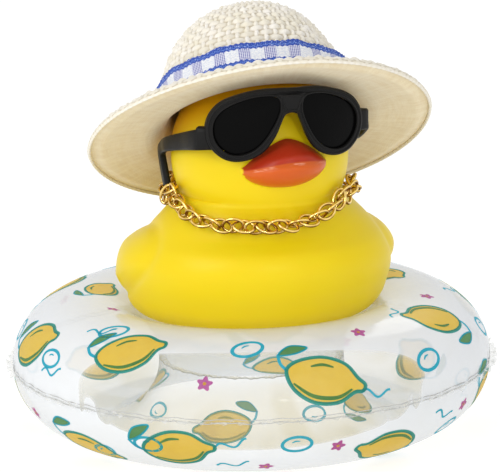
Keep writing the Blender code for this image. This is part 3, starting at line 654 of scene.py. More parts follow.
def duck_heights():
    crown = [HEAD_HEIGHT + HEAD_RADIUS * cos(radians(1.5 + 3.5 * step)) for step in range(19)]
    low = HEAD_HEIGHT - 0.34 * HEAD_RADIUS
    face = list(np.arange(crown[-1] - 0.3 * MM, low, -0.24 * MM))
    neck = list(np.arange(face[-1] - 0.35 * MM, BASE_ROUNDING, -0.4 * MM))
    base = [BASE_ROUNDING * (1.0 - sin(radians(turn))) for turn in range(0, 91, 9)]
    return crown + face + neck + base


def build_duck():
    # the columns lie closer at the front, where the beak is
    turns = [turn - 0.5 * sin(turn) for turn in circle(DUCK_COLUMNS)]
    made = [[duck_skin(turn, height) for turn in turns] for height in duck_heights()]
    rows = [[on_duck(item[0]) for item in row] for row in made]
    inside, above = ([item[part] for row in made for item in row] for part in (1, 2))
    for radius, height in ((BASE_RADIUS - 0.5 * MM, 0.0), (SQUEAKER_SEAT + 0.5 * MM, 0.0), (SQUEAKER_SEAT, 0.0),
                           (SQUEAKER_SEAT, SQUEAKER_HOLE)):
        rows.append([on_duck(turned(radius, turn, height)) for turn in turns])
    top = on_duck(Vector((0.0, -HEAD_FORWARD, HEAD_HEIGHT + HEAD_RADIUS)))
    spare = len(rows) * DUCK_COLUMNS + 1 - len(inside)
    # painted shade under the brim, strongest at the brim's plane, fading 6.5 mm below it and beyond 19 to 24 mm
    # from the hat's axis
    to_hat = hat_matrix().inverted()
    from_hat = [to_hat @ point for row in rows for point in row] + [to_hat @ top]
    shade = [0.8 * smooth_step(-6.5 * MM, 0.5 * MM, spot.z)
             * (1.0 - smooth_step(19.0 * MM, 24.0 * MM, hypot(spot.x, spot.y))) for spot in from_hat]
    mesh = grid_mesh("duck_skin", rows, start=top, flip=True, beak=inside + [-1.0] * spare,
                     above_mouth=above + [-9.0] * spare, under_brim=shade)
    add_piece("duck", mesh, [duck_finish()], ["duck_body"], sharp=60.0)


# Swim ring


def on_tube(turn, around, proud=0.0):
    """Point of the ring's skin: turn from the front (-Y) towards +X, around from outside over the top."""
    radius = TUBE_MIDDLE + (TUBE_HALF_WIDTH + proud) * cos(around)
    height = (TUBE_HALF_HEIGHT + proud) * sin(around)
    height = max(height, -SEAM)
    return turned(radius, turn, SEAM + height)


def build_films():
    film = film_finish()
    for side, level in ((1.0, "upper"), (-1.0, "lower")):
        rows = []
        for step in range(FILM_STEPS + 1):
            around = radians(side * 180.0 * step / FILM_STEPS)
            # slack near the weld gathers in shallow folds
            slack = exp(-(abs(sin(around)) / 0.16) ** 2) * (1.0 if cos(around) > 0.0 else 0.5)
            row = []
            for turn in circle(FILM_COLUMNS):
                fold = sin(63.0 * turn) + 0.6 * sin(101.0 * turn + 1.3) + 0.5 * sin(37.0 * turn + 0.4)
                row.append(on_tube(turn, around, -FOLD_DEPTH * slack * (fold + 1.6) / 2.0))
            rows.append(row)
        mesh = grid_mesh(f"ring_{level}_skin", rows, flip=side > 0.0)
        add_piece(f"ring_{level}_skin", mesh, [film], [f"ring_{level}_film"])


def pucker(turn, share):
    """Height of the flange's ripple at a share of its width."""
    wave = (0.55 * sin(88.0 * turn + 1.2 * sin(9.0 * turn)) + 0.35 * sin(131.0 * turn + 2.0)
            + 0.25 * sin(53.0 * turn + 0.7))
    return PUCKER_HEIGHT * wave * share ** 1.3


def build_flange():
    finish = flange_finish()
    outer, inner = TUBE_MIDDLE + TUBE_HALF_WIDTH, TUBE_MIDDLE - TUBE_HALF_WIDTH
    for name, middle, width, wild in (("outer_flange", outer - 0.1 * MM, FLANGE - 0.1 * MM, 1.0),
                                      ("inner_flange", inner + 0.1 * MM, 0.1 * MM - FLANGE, INNER_PUCKER)):
        rows = []
        for step in range(FLANGE_STEPS + 1):
            share = step / FLANGE_STEPS
            row = []
            for turn in circle(FLANGE_COLUMNS):
                ragged = 1.0 - 0.22 * wild * share * (1.0 + sin(71.0 * turn + 3.0 * sin(5.0 * turn)))
                row.append(turned(middle + width * share * ragged, turn, SEAM + wild * pucker(turn, share)))
            rows.append(row)
        add_piece(name, grid_mesh(name, rows, flip=width > 0.0), [finish])
    line = seam_finish()
    lines = (("weld_line_upper", outer, 0.30, 0.07), ("weld_line_lower", outer, -0.32, 0.09),
             ("weld_line_inner", inner, 0.0, 0.10))
    for name, edge, height, thick in lines:
        rows = []
        for turn in circle(360):
            wander = 0.10 * sin(31.0 * turn) + 0.06 * sin(77.0 * turn + 1.0)
            rows.append([turned(edge + (thick * cos(a) - 0.10) * MM, turn,
                                SEAM + (height + wander + thick * sin(a)) * MM) for a in circle(6)])
        add_piece(name, grid_mesh(name, rows + rows[:1]), [line])


class Print:
    """Flat shapes drawn on the ring's skin, gathered into one mesh."""

    def __init__(self):
        self.verts, self.faces, self.inks = [], [], []

    def vert(self, spot, x, y, layer):
        turn, around, slant, size = spot
        u = (x * cos(slant) - y * sin(slant)) * size
        v = (x * sin(slant) + y * cos(slant)) * size
        radius = TUBE_MIDDLE + TUBE_HALF_WIDTH * cos(around)
        proud = (0.03 + 0.012 * layer) * MM
        self.verts.append(tuple(on_tube(turn + u / radius, around + v / TUBE_HALF_WIDTH, proud)))

    def face(self, colour, *corners):
        self.faces.append(corners)
        self.inks.append(colour)

    def fan(self, spot, outline, colour, layer, rings=5):
        count = len(outline)
        middle_x, middle_y = (sum(p[part] for p in outline) / count for part in (0, 1))
        self.vert(spot, middle_x, middle_y, layer)
        first = len(self.verts)
        for ring in range(1, rings + 1):
            share = ring / rings
            for x, y in outline:
                self.vert(spot, middle_x + (x - middle_x) * share, middle_y + (y - middle_y) * share, layer)
        for index in range(count):
            after = (index + 1) % count
            self.face(colour, first - 1, first + index, first + after)
            for a in range(first, first + (rings - 1) * count, count):
                self.face(colour, a + index, a + count + index, a + count + after, a + after)

    def stroke(self, spot, points, width, colour, layer, closed=False, taper=False):
        line = smooth_line(points, 6, closed)
        first = len(self.verts)
        count = len(line)
        for index, point in enumerate(line):
            run = run_at(line, index, closed).normalized()
            half = width / 2.0
            if taper:
                half *= 0.25 + 0.75 * sin(pi * (0.08 + 0.84 * index / (count - 1)))
            for sign in (1.0, -1.0):
                edge = point + Vector((-run.y, run.x)) * half * sign
                self.vert(spot, edge.x, edge.y, layer)
        for index in range(count if closed else count - 1):
            a, b = first + 2 * index, first + 2 * ((index + 1) % count)
            self.face(colour, a, b, b + 1, a + 1)


INKS = (
    ("yellow_ink", (0.92, 0.70, 0.13), (0.88, 0.63, 0.10)), ("teal_ink", (0.03, 0.36, 0.33), (0.05, 0.42, 0.40)),
    ("green_ink", (0.11, 0.33, 0.12), (0.15, 0.40, 0.16)), ("cyan_ink", (0.02, 0.48, 0.66), (0.05, 0.55, 0.72)),
    ("pink_ink", (0.56, 0.12, 0.42), (0.62, 0.18, 0.48)),
)
YELLOW_INK, TEAL_INK, GREEN_INK, CYAN_INK, PINK_INK = range(len(INKS))


def draw_lemon(sheet, spot):
    """Half-turned lemon with a leaf and a stalk."""
    outline = smooth_line([(-1.0, 0.05), (-0.72, 0.42), (-0.1, 0.66), (0.5, 0.56), (0.86, 0.22), (1.08, 0.06),
                           (1.04, -0.12), (0.82, -0.2), (0.45, -0.55), (-0.15, -0.66), (-0.72, -0.42)], 5, True)
    sheet.fan(spot, outline, YELLOW_INK, 0)
    sheet.stroke(spot, outline[::5], 0.105, TEAL_INK, 1, closed=True)
    shade = [(-0.75, -0.28), (-0.2, -0.5), (0.4, -0.42), (0.75, -0.12)]
    sheet.stroke(spot, shade, 0.11, GREEN_INK, 2, taper=True)
    sheet.stroke(spot, [(-0.4, 0.3), (-0.1, 0.42), (0.2, 0.4)], 0.09, GREEN_INK, 2, taper=True)
    sheet.stroke(spot, [(-1.0, 0.05), (-1.2, 0.2), (-1.32, 0.48)], 0.09, CYAN_INK, 1)
    leaf = smooth_line([(-1.3, 0.46), (-1.05, 0.86), (-0.55, 0.92), (-0.85, 0.62)], 5, True)
    sheet.fan(spot, leaf, GREEN_INK, 0, rings=3)
    sheet.stroke(spot, leaf[::5], 0.06, CYAN_INK, 1, closed=True)


def draw_ring(sheet, spot):
    ring = [(cos(a), 0.66 * sin(a)) for a in circle(12)]
    sheet.stroke(spot, ring, 0.24, CYAN_INK, 0, closed=True)
    sheet.stroke(spot, [(-0.35, 0.16), (-0.1, 0.3), (0.2, 0.28)], 0.13, CYAN_INK, 0, taper=True)


def draw_flower(sheet, spot):
    reaches = [(0.78 + 0.20 * cos(5.0 * a), a) for a in circle(30)]
    petals = [(reach * cos(a), reach * sin(a)) for reach, a in reaches]
    sheet.fan(spot, petals, PINK_INK, 0, rings=3)
    middle = [(0.22 * cos(a), 0.22 * sin(a)) for a in circle(10)]
    sheet.fan(spot, middle, YELLOW_INK, 1, rings=2)


def draw_wave(sheet, spot):
    swing = [(-1.0 + step / 6.0, 0.24 * sin(1.3 * pi * step / 6.0)) for step in range(13)]
    sheet.stroke(spot, swing, 0.15, CYAN_INK, 0)


def build_print():
    """Generic fruit print: places are the turn from the front, the angle over the tube, slant and size in mm."""
    sheet = Print()
    lemons = (
        (-48, 52, 25, 5.2), (2, 30, -18, 5.6), (47, 62, 150, 5.2), (92, 35, 20, 5.4), (141, 58, 200, 5.2),
        (188, 30, -10, 5.4), (236, 60, 170, 5.2), (276, 34, 30, 5.4),
        (-33, -28, 10, 5.2), (20, -42, 165, 5.4), (62, -24, -20, 5.2), (112, -45, 30, 5.2), (160, -26, 190, 5.2),
        (215, -44, 15, 5.2), (262, -30, 160, 5.2), (300, -46, -15, 5.2),
        (98, 102, 200, 3.7), (170, 98, 20, 3.7), (248, 102, 170, 3.7),
        (60, 218, 10, 4.2), (150, 222, 190, 4.2), (240, 216, 20, 4.2), (330, 222, 170, 4.2),
    )
    rings = (
        (-16, 62, 20, 2.2), (32, 30, 15, 2.3), (68, 28, -30, 2.2), (-72, 30, 0, 2.1), (115, 62, 40, 2.2),
        (165, 40, 0, 2.2), (213, 70, 10, 2.2), (258, 30, -20, 2.2), (302, 70, 30, 2.2),
        (-5, -22, 0, 2.1), (42, -40, 20, 2.1), (88, -40, 10, 2.1), (190, -40, 0, 2.1), (240, -20, 0, 2.1),
        (-55, -44, 30, 2.1), (320, -25, 0, 2.1), (200, 112, 0, 1.9),
        (20, 215, 0, 1.9), (105, 220, 0, 1.9), (285, 218, 0, 1.9),
    )
    flowers = (
        (-26, 30, 10, 1.25), (17, 70, 0, 1.2), (62, 80, 0, 1.2), (128, 25, 0, 1.2), (222, 25, 0, 1.2),
        (5, -28, 0, 1.2), (-12, -50, 0, 1.2), (45, -20, 0, 1.2), (138, -40, 0, 1.2), (280, -25, 0, 1.2),
        (135, 108, 0, 1.1), (280, 104, 0, 1.1),
    )
    waves = (
        (-62, 66, 20, 2.4), (14, 14, -10, 2.4), (38, 84, 30, 2.2), (80, 60, -30, 2.4), (150, 25, 10, 2.4),
        (200, 48, -20, 2.4), (290, 20, 10, 2.4), (-20, -45, 10, 2.4), (36, -20, -20, 2.4), (78, -48, 10, 2.4),
        (178, -48, 10, 2.4), (340, -20, 15, 2.4),
    )
    for places, draw in ((lemons, draw_lemon), (rings, draw_ring), (flowers, draw_flower), (waves, draw_wave)):
        for turn, around, slant, size in places:
            draw(sheet, (radians(turn), radians(around), radians(slant), PRINT_SCALE * size * MM))
    mesh = bpy.data.meshes.new("ring_print")
    mesh.from_pydata(sheet.verts, [], sheet.faces)
    add_piece("ring_print", mesh, [ink(*row) for row in INKS])
    mesh.polygons.foreach_set("material_index", sheet.inks)
    mesh.shade_smooth()


# Straw hat


def hat_matrix():
    lean = Matrix.Rotation(HAT_TILT_TURN, 4, "Z") @ Matrix.Rotation(-HAT_TILT_BACK, 4, "X")
    middle = Vector((DUCK_SIDEWAYS + HAT_SHIFT, -HEAD_FORWARD, DUCK_BASE + HEAD_HEIGHT))
    return Matrix.Translation(middle) @ lean @ Matrix.Translation((0.0, 0.0, HAT_RISE))


def crown_radius():
    reach = HEAD_RADIUS + HAT_PLAY + GAP + LINING + GAP + CROWN_FLARE
    return sqrt(reach ** 2 - (HAT_RISE + CROWN_FLARE) ** 2) - CROWN_FLARE


def brim_line(rows, outer):
    inner = crown_radius() + CROWN_FLARE
    line = []
    for row in range(rows):
        radius = outer + (inner - outer) * row / rows
        share = (radius - inner) / (BRIM_RADIUS - inner)
        line.append(Vector((radius, -BRIM_DROOP * share * share)))
    return line


def flare_line(steps):
    foot = crown_radius()
    turns = [pi / 2.0 * step / steps for step in range(steps)]
    return [Vector((foot + CROWN_FLARE * (1.0 - sin(turn)), CROWN_FLARE * (1.0 - cos(turn))))
            for turn in turns]


def crown_line(rows, top=1.0):
    foot = crown_radius()
    height = CROWN_HEIGHT - CROWN_FLARE
    line = []
    for row in range(rows + 1):
        share = top * (1.0 - (1.0 - row / rows) ** 1.7)
        round_off = (1.0 - share ** CROWN_ROUNDNESS) ** (1.0 / CROWN_ROUNDNESS)
        line.append(Vector((foot * round_off, CROWN_FLARE + height * share)))
    return line


def offset_line(line, distance, closed=False):
    """Line moved to its left, for the hat towards the head, by a distance."""
    moved = []
    for index, point in enumerate(line):
        run = run_at(line, index, closed)
        moved.append(point + Vector((-run.y, run.x)).normalized() * distance)
    return moved


def even_cuts(line, count):
    """Index and share of the way to the next point at each of count equal steps, with the line's length."""
    lengths = [0.0]
    for a, b in zip(line, line[1:]):
        lengths.append(lengths[-1] + (b - a).length)
    cuts = []
    at = 0
    for index in range(count + 1):
        want = lengths[-1] * index / count
        while at < len(line) - 2 and lengths[at + 1] < want:
            at += 1
        cuts.append((at, (want - lengths[at]) / (lengths[at + 1] - lengths[at])))
    return cuts, lengths[-1]


def evenly(line, count):
    """Line cut into count equal lengths, with the outward normal at each point."""
    cuts, length = even_cuts(line, count)
    made = [line[at].lerp(line[at + 1], min(1.0, t)) for at, t in cuts]
    runs = [run_at(made, index) for index in range(count + 1)]
    return made, [Vector((run.y, -run.x)).normalized() for run in runs], length


def spun(matrix, radius, height, turn):
    return matrix @ Vector((radius * cos(turn), radius * sin(turn), height))


def dipped(matrix, radius, height, turn):
    """Spun point of the brim, whose soft edge sags at the front."""
    inner = crown_radius() + CROWN_FLARE
    share = max(0.0, (radius - inner) / (BRIM_RADIUS - inner))
    aside = atan2(sin(turn - SAG_TURN), cos(turn - SAG_TURN))
    sag = BRIM_SAG * exp(-(aside / SAG_SPREAD) ** 2) * share ** 1.5
    return spun(matrix, radius, height - sag, turn)


def leaning(matrix, radius, height, turn, crown):
    """Spun point, with the crown's sides drawn in above the ribbon, more on the wearer's left."""
    if not crown:
        return dipped(matrix, radius, height, turn)
    drawn = smooth_step(RIBBON_LOW + 0.5 * RIBBON_WIDTH, 0.7 * CROWN_HEIGHT, height)
    height -= CROWN_LOWER * drawn
    across = radius * cos(turn)
    across *= 1.0 - drawn * (CROWN_DRAWN_LEFT if across > 0.0 else CROWN_DRAWN_RIGHT)
    return matrix @ Vector((across, radius * sin(turn), height))


def weave(u, v, seed):
    """Height from 0 to 1 of a basket weave at column u and row v, with the tone of the strip on top."""
    row = floor(v)
    fine = v - row - 0.5
    over = cos(pi * (u + row))
    weft = sqrt(max(0.0, 1.0 - (fine / 0.50) ** 2)) * (0.58 + 0.42 * over)
    column = round(u)
    aside = (u - column) / 0.24
    lift = -cos(pi * (column + row)) * cos(pi * fine)
    warp = sqrt(max(0.0, 1.0 - aside * aside)) * (0.48 + 0.44 * lift) if abs(aside) < 1.0 else 0.0
    pick = floor((u + row) / 2.0 + 0.25)
    if warp > weft:
        return warp, 0.85
    return weft, 0.25 + 0.75 * scatter(row * 12.9898 + pick * 78.233 + seed)


def build_straw():
    finish = straw_finish()
    place = hat_matrix()
    jobs = (
        ("straw_crown", flare_line(12) + crown_line(40, 0.999), 60, 8, 28, 7, 0.0),
        ("straw_brim", brim_line(24, BRIM_RADIUS) + [flare_line(12)[0]], 108, 6, 11, 6, 5.0),
    )
    for name, inside, columns, per_column, weave_rows, per_row, seed in jobs:
        crown = name == "straw_crown"
        outside = offset_line(inside, WEAVE_SUNK - STRAW)
        if not crown:
            rolled = ((-0.5, -0.62), (-0.2, -0.52), (-0.12, -0.36), (-0.16, -0.18), (-0.32, -0.05))
            outside[:1] = [outside[0] + Vector((x * MM, z * MM)) for x, z in rolled]
        points, normals, length = evenly(outside, weave_rows * per_row)
        rows, tones, depths = [], [], []
        for index, (point, normal) in enumerate(zip(points, normals)):
            v = index / per_row + 0.25
            row = []
            # towards the crown's middle the strips close up, so the relief flattens
            calm = min(1.0, point.x / (4.5 * MM)) if crown else 1.0
            for column, turn in enumerate(circle(columns * per_column)):
                sway = 0.07 * sin(5.0 * turn + 0.9 * v) + 0.04 * sin(13.0 * turn - 0.6 * v)
                slip = 0.10 * sin(0.8 * v + 4.0 * turn) + 0.03 * sin(5.3 * v)
                high, tone = weave(column / per_column + slip, v + sway, seed)
                wander = 0.12 * sin(19.0 * turn + 1.7 * v) + 0.08 * sin(31.0 * turn - 2.3 * v)
                lift = (0.04 + 0.74 * high * (1.0 + wander)) * MM * calm
                if not crown:
                    lift *= 0.14 + 0.86 * smooth_step(1.0, 2.4, v)
                    tone *= 0.2 + 0.8 * smooth_step(0.8, 2.0, v)
                lift -= WEAVE_SUNK
                row.append(leaning(place, point.x + normal.x * lift, point.y + normal.y * lift, turn, crown))
                tones.append(tone)
                depths.append(high)
            rows.append(row)
        end = place @ Vector((0.0, 0.0, points[-1].y)) if crown else None
        around = tau * STRAW_MAP_RADIUS
        mesh = grid_mesh(name, rows, end=end, uv=lambda r, c: (c * around, r * length),
                         tone=tones + [0.5] * crown, depth=depths + [0.7] * crown)
        add_piece(name, mesh, [finish], ["straw_hat"])
    build_brim_edge(place, finish)


def build_brim_edge(place, finish):
    """Folded hem of the cloth under the rim, gathered by small stitches."""
    rows, tones, depths = [], [], []
    for turn in circle(HEM_COLUMNS):
        stitch = 0.5 + 0.5 * cos(160.0 * turn + 1.5 * sin(7.0 * turn))
        row = []
        for a in circle(HEM_SIDES):
            out = (0.24 + 0.05 * stitch) * cos(a) - 0.42
            high = 0.12 + (0.30 + 0.04 * stitch) * sin(a)
            row.append(dipped(place, BRIM_RADIUS + out * MM, high * MM - BRIM_DROOP, turn))
        # painted light and shade: the stitches' tops lighter and the dips between them darker
        tones += [0.35 + 0.3 * stitch] * HEM_SIDES
        depths += [0.5 + 0.4 * stitch] * HEM_SIDES
        rows.append(row)
    mesh = grid_mesh("brim_edge", rows + rows[:1], uv=lambda r, c: (r * 0.19, c * 0.003),
                     tone=tones + tones[:HEM_SIDES], depth=depths + depths[:HEM_SIDES])
    add_piece("brim_edge", mesh, [finish])


def build_lining():
    place = hat_matrix()
    face = brim_line(16, BRIM_RADIUS - 0.5 * MM) + flare_line(10)
    foot = crown_radius()
    face += [Vector((foot, CROWN_FLARE)), Vector((foot - 0.6 * MM, CROWN_FLARE + LINING_TURN_UP))]
    surface = [
        point + Vector((0.0, 0.92 * MM * smooth_step(BRIM_RADIUS - 3.2 * MM, BRIM_RADIUS - 0.5 * MM, point.x)))
        for point in offset_line(face, GAP + LINING)
    ]
    line = [Vector((BRIM_RADIUS - 0.2 * MM, surface[0].y + 0.22 * MM))] + surface
    points, _, length = evenly(line, LINING_ROWS)
    rows = []
    for index, point in enumerate(points):
        row = []
        ease = sin(pi * min(1.0, 2.0 * index / LINING_ROWS))
        for turn in circle(LINING_COLUMNS):
            slack = 0.07 * MM * ease * (sin(5.0 * turn + 0.6) + 0.6 * sin(11.0 * turn + 2.0) - 0.6)
            row.append(dipped(place, point.x, point.y - slack, turn))
        rows.append(row)
    around = tau * LINING_MAP_RADIUS
    mesh = grid_mesh("lining", rows, uv=lambda r, c: (c * around, r * length), flip=True)
    lining = add_piece("lining", mesh, [cloth_finish()], ["hat_lining"])


def straw_radius(outside, height):
    for low, high in zip(outside, outside[1:]):
        if low.y <= height <= high.y:
            return low.x + (high.x - low.x) * (height - low.y) / (high.y - low.y)
    return outside[0].x


def build_ribbon():
    place = hat_matrix()
    outside = offset_line(flare_line(12) + crown_line(24), -STRAW)
    clear = WEAVE_LIFT + GAP - 0.1 * MM
    total = tau + RIBBON_LAP
    columns, top = 2 * RIBBON_LEVELS, RIBBON_LEVELS - 1
    skin = []
    for step in range(RIBBON_STEPS + 1):
        along = step / RIBBON_STEPS
        turn = pi / 2.0 + total * along
        rise = 0.62 * MM * smooth_step(total - 2.2 * RIBBON_LAP, total - RIBBON_LAP, total * along)
        waver = 0.16 * MM * sin(9.0 * turn + 0.8) + 0.10 * MM * sin(23.0 * turn)
        frill = 0.07 * MM * sin(tau * 124.0 * along)
        curl = 0.13 * MM * (1.0 + 0.5 * sin(tau * 110.0 * along))
        outer, inner = [], []
        for level in range(RIBBON_LEVELS):
            share = level / top
            height = RIBBON_LOW + RIBBON_WIDTH * share
            rim = exp(-(share / 0.13) ** 2) + exp(-((1.0 - share) / 0.13) ** 2)
            belly = 0.1 * MM * (1.0 + sin(pi * share) + sin(17.0 * turn + 5.0 * share))
            radius = straw_radius(outside, height) + clear + rise + curl * rim + belly
            height += waver * (0.4 + 0.6 * share) + (frill if level in (0, top) else 0.0)
            outer.append(spun(place, radius + RIBBON_THICK, height, turn))
            inner.append(spun(place, radius, height, turn))
        skin.append(outer + inner[::-1])

    def spread(r, c):
        at = (c * columns) % columns
        share = at / top if at <= top else (columns - 1 - at) / top
        return r * total * RIBBON_MAP_RADIUS, max(0.0, min(1.0, share)) * RIBBON_WIDTH

    mesh = grid_mesh("ribbon", skin, uv=spread, flip=True)
    with edited(mesh) as form:
        verts = list(form.verts)
        form.faces.new(verts[:columns])
        form.faces.new(verts[:-columns - 1:-1])
    add_piece("ribbon", mesh, [ribbon_finish()], ["hat_ribbon"], sharp=50.0)


# Sunglasses


def wrapped(x, z, depth):
    bend = hypot(x * tan(GLASSES_WRAP), GLASSES_NOSE_ROUND) - GLASSES_NOSE_ROUND
    return Vector((DUCK_SIDEWAYS + x * cos(GLASSES_WRAP),
                   -GLASSES_FORWARD + bend * cos(GLASSES_WRAP) + depth - z * sin(GLASSES_LEAN),
                   DUCK_BASE + GLASSES_HEIGHT + z * cos(GLASSES_LEAN)))


def rounded_plate(name, outlines, thick, rounding):
    """Plate with rounded edges, wrapped round the face."""
    curve = bpy.data.curves.new(name, "CURVE")
    curve.dimensions = "2D"
    curve.fill_mode = "BOTH"
    curve.extrude = thick / 2.0 - rounding
    curve.bevel_depth = rounding
    curve.bevel_resolution = 3
    curve.offset = -rounding
    for outline in outlines:
        spline = curve.splines.new("POLY")
        spline.points.add(len(outline) - 1)
        for spot, point in zip(spline.points, outline):
            spot.co = (point.x, point.y, 0.0, 1.0)
        spline.use_cyclic_u = True
    holder = put(name, curve)
    bpy.context.view_layer.update()
    evaluated = holder.evaluated_get(bpy.context.evaluated_depsgraph_get())
    mesh = bpy.data.meshes.new_from_object(evaluated)
    bpy.data.objects.remove(holder, do_unlink=True)
    with edited(mesh) as form:
        bmesh.ops.remove_doubles(form, verts=form.verts, dist=0.001 * MM)
        bmesh.ops.triangulate(form, faces=form.faces)
        for _ in range(2):
            long_edges = [edge for edge in form.edges if edge.calc_length() > 0.9 * MM]
            bmesh.ops.subdivide_edges(form, edges=long_edges, cuts=1)
            bmesh.ops.triangulate(form, faces=form.faces)
        for vert in form.verts:
            vert.co = wrapped(vert.co.x, vert.co.y, -vert.co.z)
        bmesh.ops.recalc_face_normals(form, faces=form.faces)
        if form.calc_volume(signed=True) < 0.0:
            bmesh.ops.reverse_faces(form, faces=form.faces)
    mesh.materials.clear()
    mesh.shade_smooth()
    return mesh


def inset_outline(outline, distance):
    """Closed outline moved inwards by a distance."""
    area = sum(a.x * b.y - b.x * a.y for a, b in zip(outline, outline[1:] + outline[:1]))
    return offset_line(outline, copysign(distance, distance * area), closed=True)


def frame_outline():
    half = in_mm(FRAME_OUTLINE)
    return half + [Vector((-point.x, point.y)) for point in half[-2:0:-1]]


def lens_outline(side):
    return in_mm(LENS_OUTLINE, closed=True, side=side)


def add_bead(name, outline, proud, radius, black):
    """Round bead along a closed outline on the front of the sunglasses."""
    points = [wrapped(point.x, point.y, proud - FRAME_THICK / 2.0) for point in outline]
    rows = []
    for index, point in enumerate(points):
        run = run_at(points, index, closed=True).normalized()
        side = run.cross(Vector((0.0, -1.0, 0.0))).normalized()
        out = side.cross(run).normalized()
        rows.append([point + side * radius * cos(a) + out * radius * sin(a) for a in circle(10)])
    add_piece(name, grid_mesh(name, rows + rows[:1], flip=True), [black])


def arm_rings(side):
    slim = 1.0 - (0.9 * SLIMMER_CHEEK if side > 0.0 else 0.0)
    lift = FAR_ARM_LIFT if side > 0.0 else 0.0
    route = smooth_line([(DUCK_SIDEWAYS + (x * slim if y > -10.0 else x) * side * MM, y * MM - HEAD_FORWARD,
                          DUCK_BASE + HEAD_HEIGHT + z * MM + (lift if y < -10.0 else 0.0))
                         for x, y, z in ARM_ROUTE], 8)
    rings = []
    for index, point in enumerate(route):
        share = index / (len(route) - 1)
        run = run_at(route, index).normalized()
        across = run.cross(Vector((0.0, 0.0, 1.0))) if abs(run.z) < 0.9 else Vector((side, 0.0, 0.0))
        if share > 0.45:
            across = Vector((side, 0.0, 0.0)) - run * run.x * side
        across.normalize()
        if across.x * side < 0.0:
            across.negate()
        tall = run.cross(across).normalized()
        height = ARM_TIP_HEIGHT + (ARM_ROOT_HEIGHT - ARM_TIP_HEIGHT) * (1.0 - smooth_step(0.1, 0.6, share))
        corner = 0.38 * ARM_THICK
        half_thick, half_tall = ARM_THICK / 2.0 - corner, height / 2.0 - corner
        ring = []
        for quarter, (sx, sz) in enumerate(((1, 1), (-1, 1), (-1, -1), (1, -1))):
            for step in range(5):
                a = radians(90.0 * quarter + 22.5 * step)
                ring.append(point + across * (sx * half_thick + corner * cos(a))
                            + tall * (sz * half_tall + corner * sin(a)))
        rings.append(ring)
    return rings, route


def build_glasses():
    black = frame_finish()
    outlines = [frame_outline(), lens_outline(1.0), lens_outline(-1.0)]
    mesh = rounded_plate("sunglasses_front", outlines, FRAME_THICK, 0.34 * MM)
    add_piece("sunglasses_front", mesh, [black], ["sunglasses_frame"], sharp=35.0)
    glass = lens_finish()
    for side, name in ((1.0, "left"), (-1.0, "right")):
        rings, route = arm_rings(side)
        mesh = grid_mesh(f"{name}_arm", rings, start=route[0], end=route[-1], flip=side > 0.0)
        add_piece(f"{name}_arm", mesh, [black], sharp=50.0)
        build_lug(name, side, black)
        build_lens(name, inset_outline(lens_outline(side), 0.02 * MM), glass)
        opening = inset_outline(lens_outline(side), -0.22 * MM)
        add_bead(f"{name}_rim_bead", opening, 0.02 * MM, 0.17 * MM, black)
    # lines that bound the sunken panel between the lenses, and the brow bar's ridge
    add_bead("bridge_panel_bead", in_mm(BRIDGE_PANEL, 5, closed=True), 0.0, 0.16 * MM, black)
    add_bead("front_edge_bead", inset_outline(frame_outline(), 0.42 * MM), 0.02 * MM, 0.15 * MM, black)


def build_lens(name, outline, glass):
    """Slightly domed lens face, set back in its opening."""
    middle = sum(outline, Vector((0.0, 0.0))) / len(outline)
    rows = [[wrapped(p.x, p.y, LENS_THICK / 2.0) for p in outline]]
    for step in range(13):
        share = 1.0 - step / 13.0
        dome = 0.55 * MM * (1.0 - share ** 2.2)
        rows.append([wrapped(middle.x + (p.x - middle.x) * share, middle.y + (p.y - middle.y) * share,
                             -0.30 * MM - dome) for p in outline])
    mesh = grid_mesh(f"{name}_dark_lens", rows, start=wrapped(middle.x, middle.y, LENS_THICK / 2.0),
                     end=wrapped(middle.x, middle.y, -0.85 * MM), flip=name == "right")
    add_piece(f"{name}_dark_lens", mesh, [glass], [f"{name}_lens"], sharp=40.0)


def build_lug(name, side, black):
    """End piece where the arm meets the front."""
    form = bmesh.new()
    bmesh.ops.create_cube(form, size=1.0)
    bmesh.ops.scale(form, vec=(2.3 * MM, 1.9 * MM, (3.1 if side > 0.0 else 3.7) * MM), verts=form.verts)
    bmesh.ops.bevel(form, geom=form.edges[:], offset=0.42 * MM, segments=3, profile=0.5, affect="EDGES")
    height = DUCK_BASE + HEAD_HEIGHT + 5.9 * MM + (FAR_ARM_LIFT if side > 0.0 else 0.0)
    middle = Vector((DUCK_SIDEWAYS + 14.15 * MM * side, -HEAD_FORWARD - 13.15 * MM, height))
    turn = Matrix.Rotation(radians(28.0) * side, 4, "Z")
    form.transform(Matrix.Translation(middle) @ turn)
    mesh = bpy.data.meshes.new(f"{name}_lug")
    form.to_mesh(mesh)
    form.free()
    mesh.shade_smooth()
    add_piece(f"{name}_lug", mesh, [black], sharp=50.0)


# Neck chain


def chain_point(turn):
    from_sag = turn - CHAIN_SAG_TURN
    side = abs(atan2(sin(from_sag), cos(from_sag)))
    height = CHAIN_FRONT_HEIGHT + CHAIN_SIDE_RISE * smooth_step(radians(15.0), radians(85.0), side)
    height -= CHAIN_BACK_DROP * smooth_step(radians(85.0), radians(135.0), side)
    middle = duck_skin(turn, height)[0]
    along = plain_skin(turn + 0.02, height) - plain_skin(turn - 0.02, height)
    up = plain_skin(turn, height + 0.5 * MM) - plain_skin(turn, height - 0.5 * MM)
    normal = along.cross(up).normalized()
    near = range(-4, 5)
    around = [duck_skin(turn + 0.04 * aside, height + level * MM)[0] for aside in near for level in near]
    for _ in range(8):
        nearest = min((spot - middle).length for spot in around)
        middle = middle + normal * max(0.0, CHAIN_HALF_HEIGHT + SEAT_GAP - nearest)
    return middle, normal


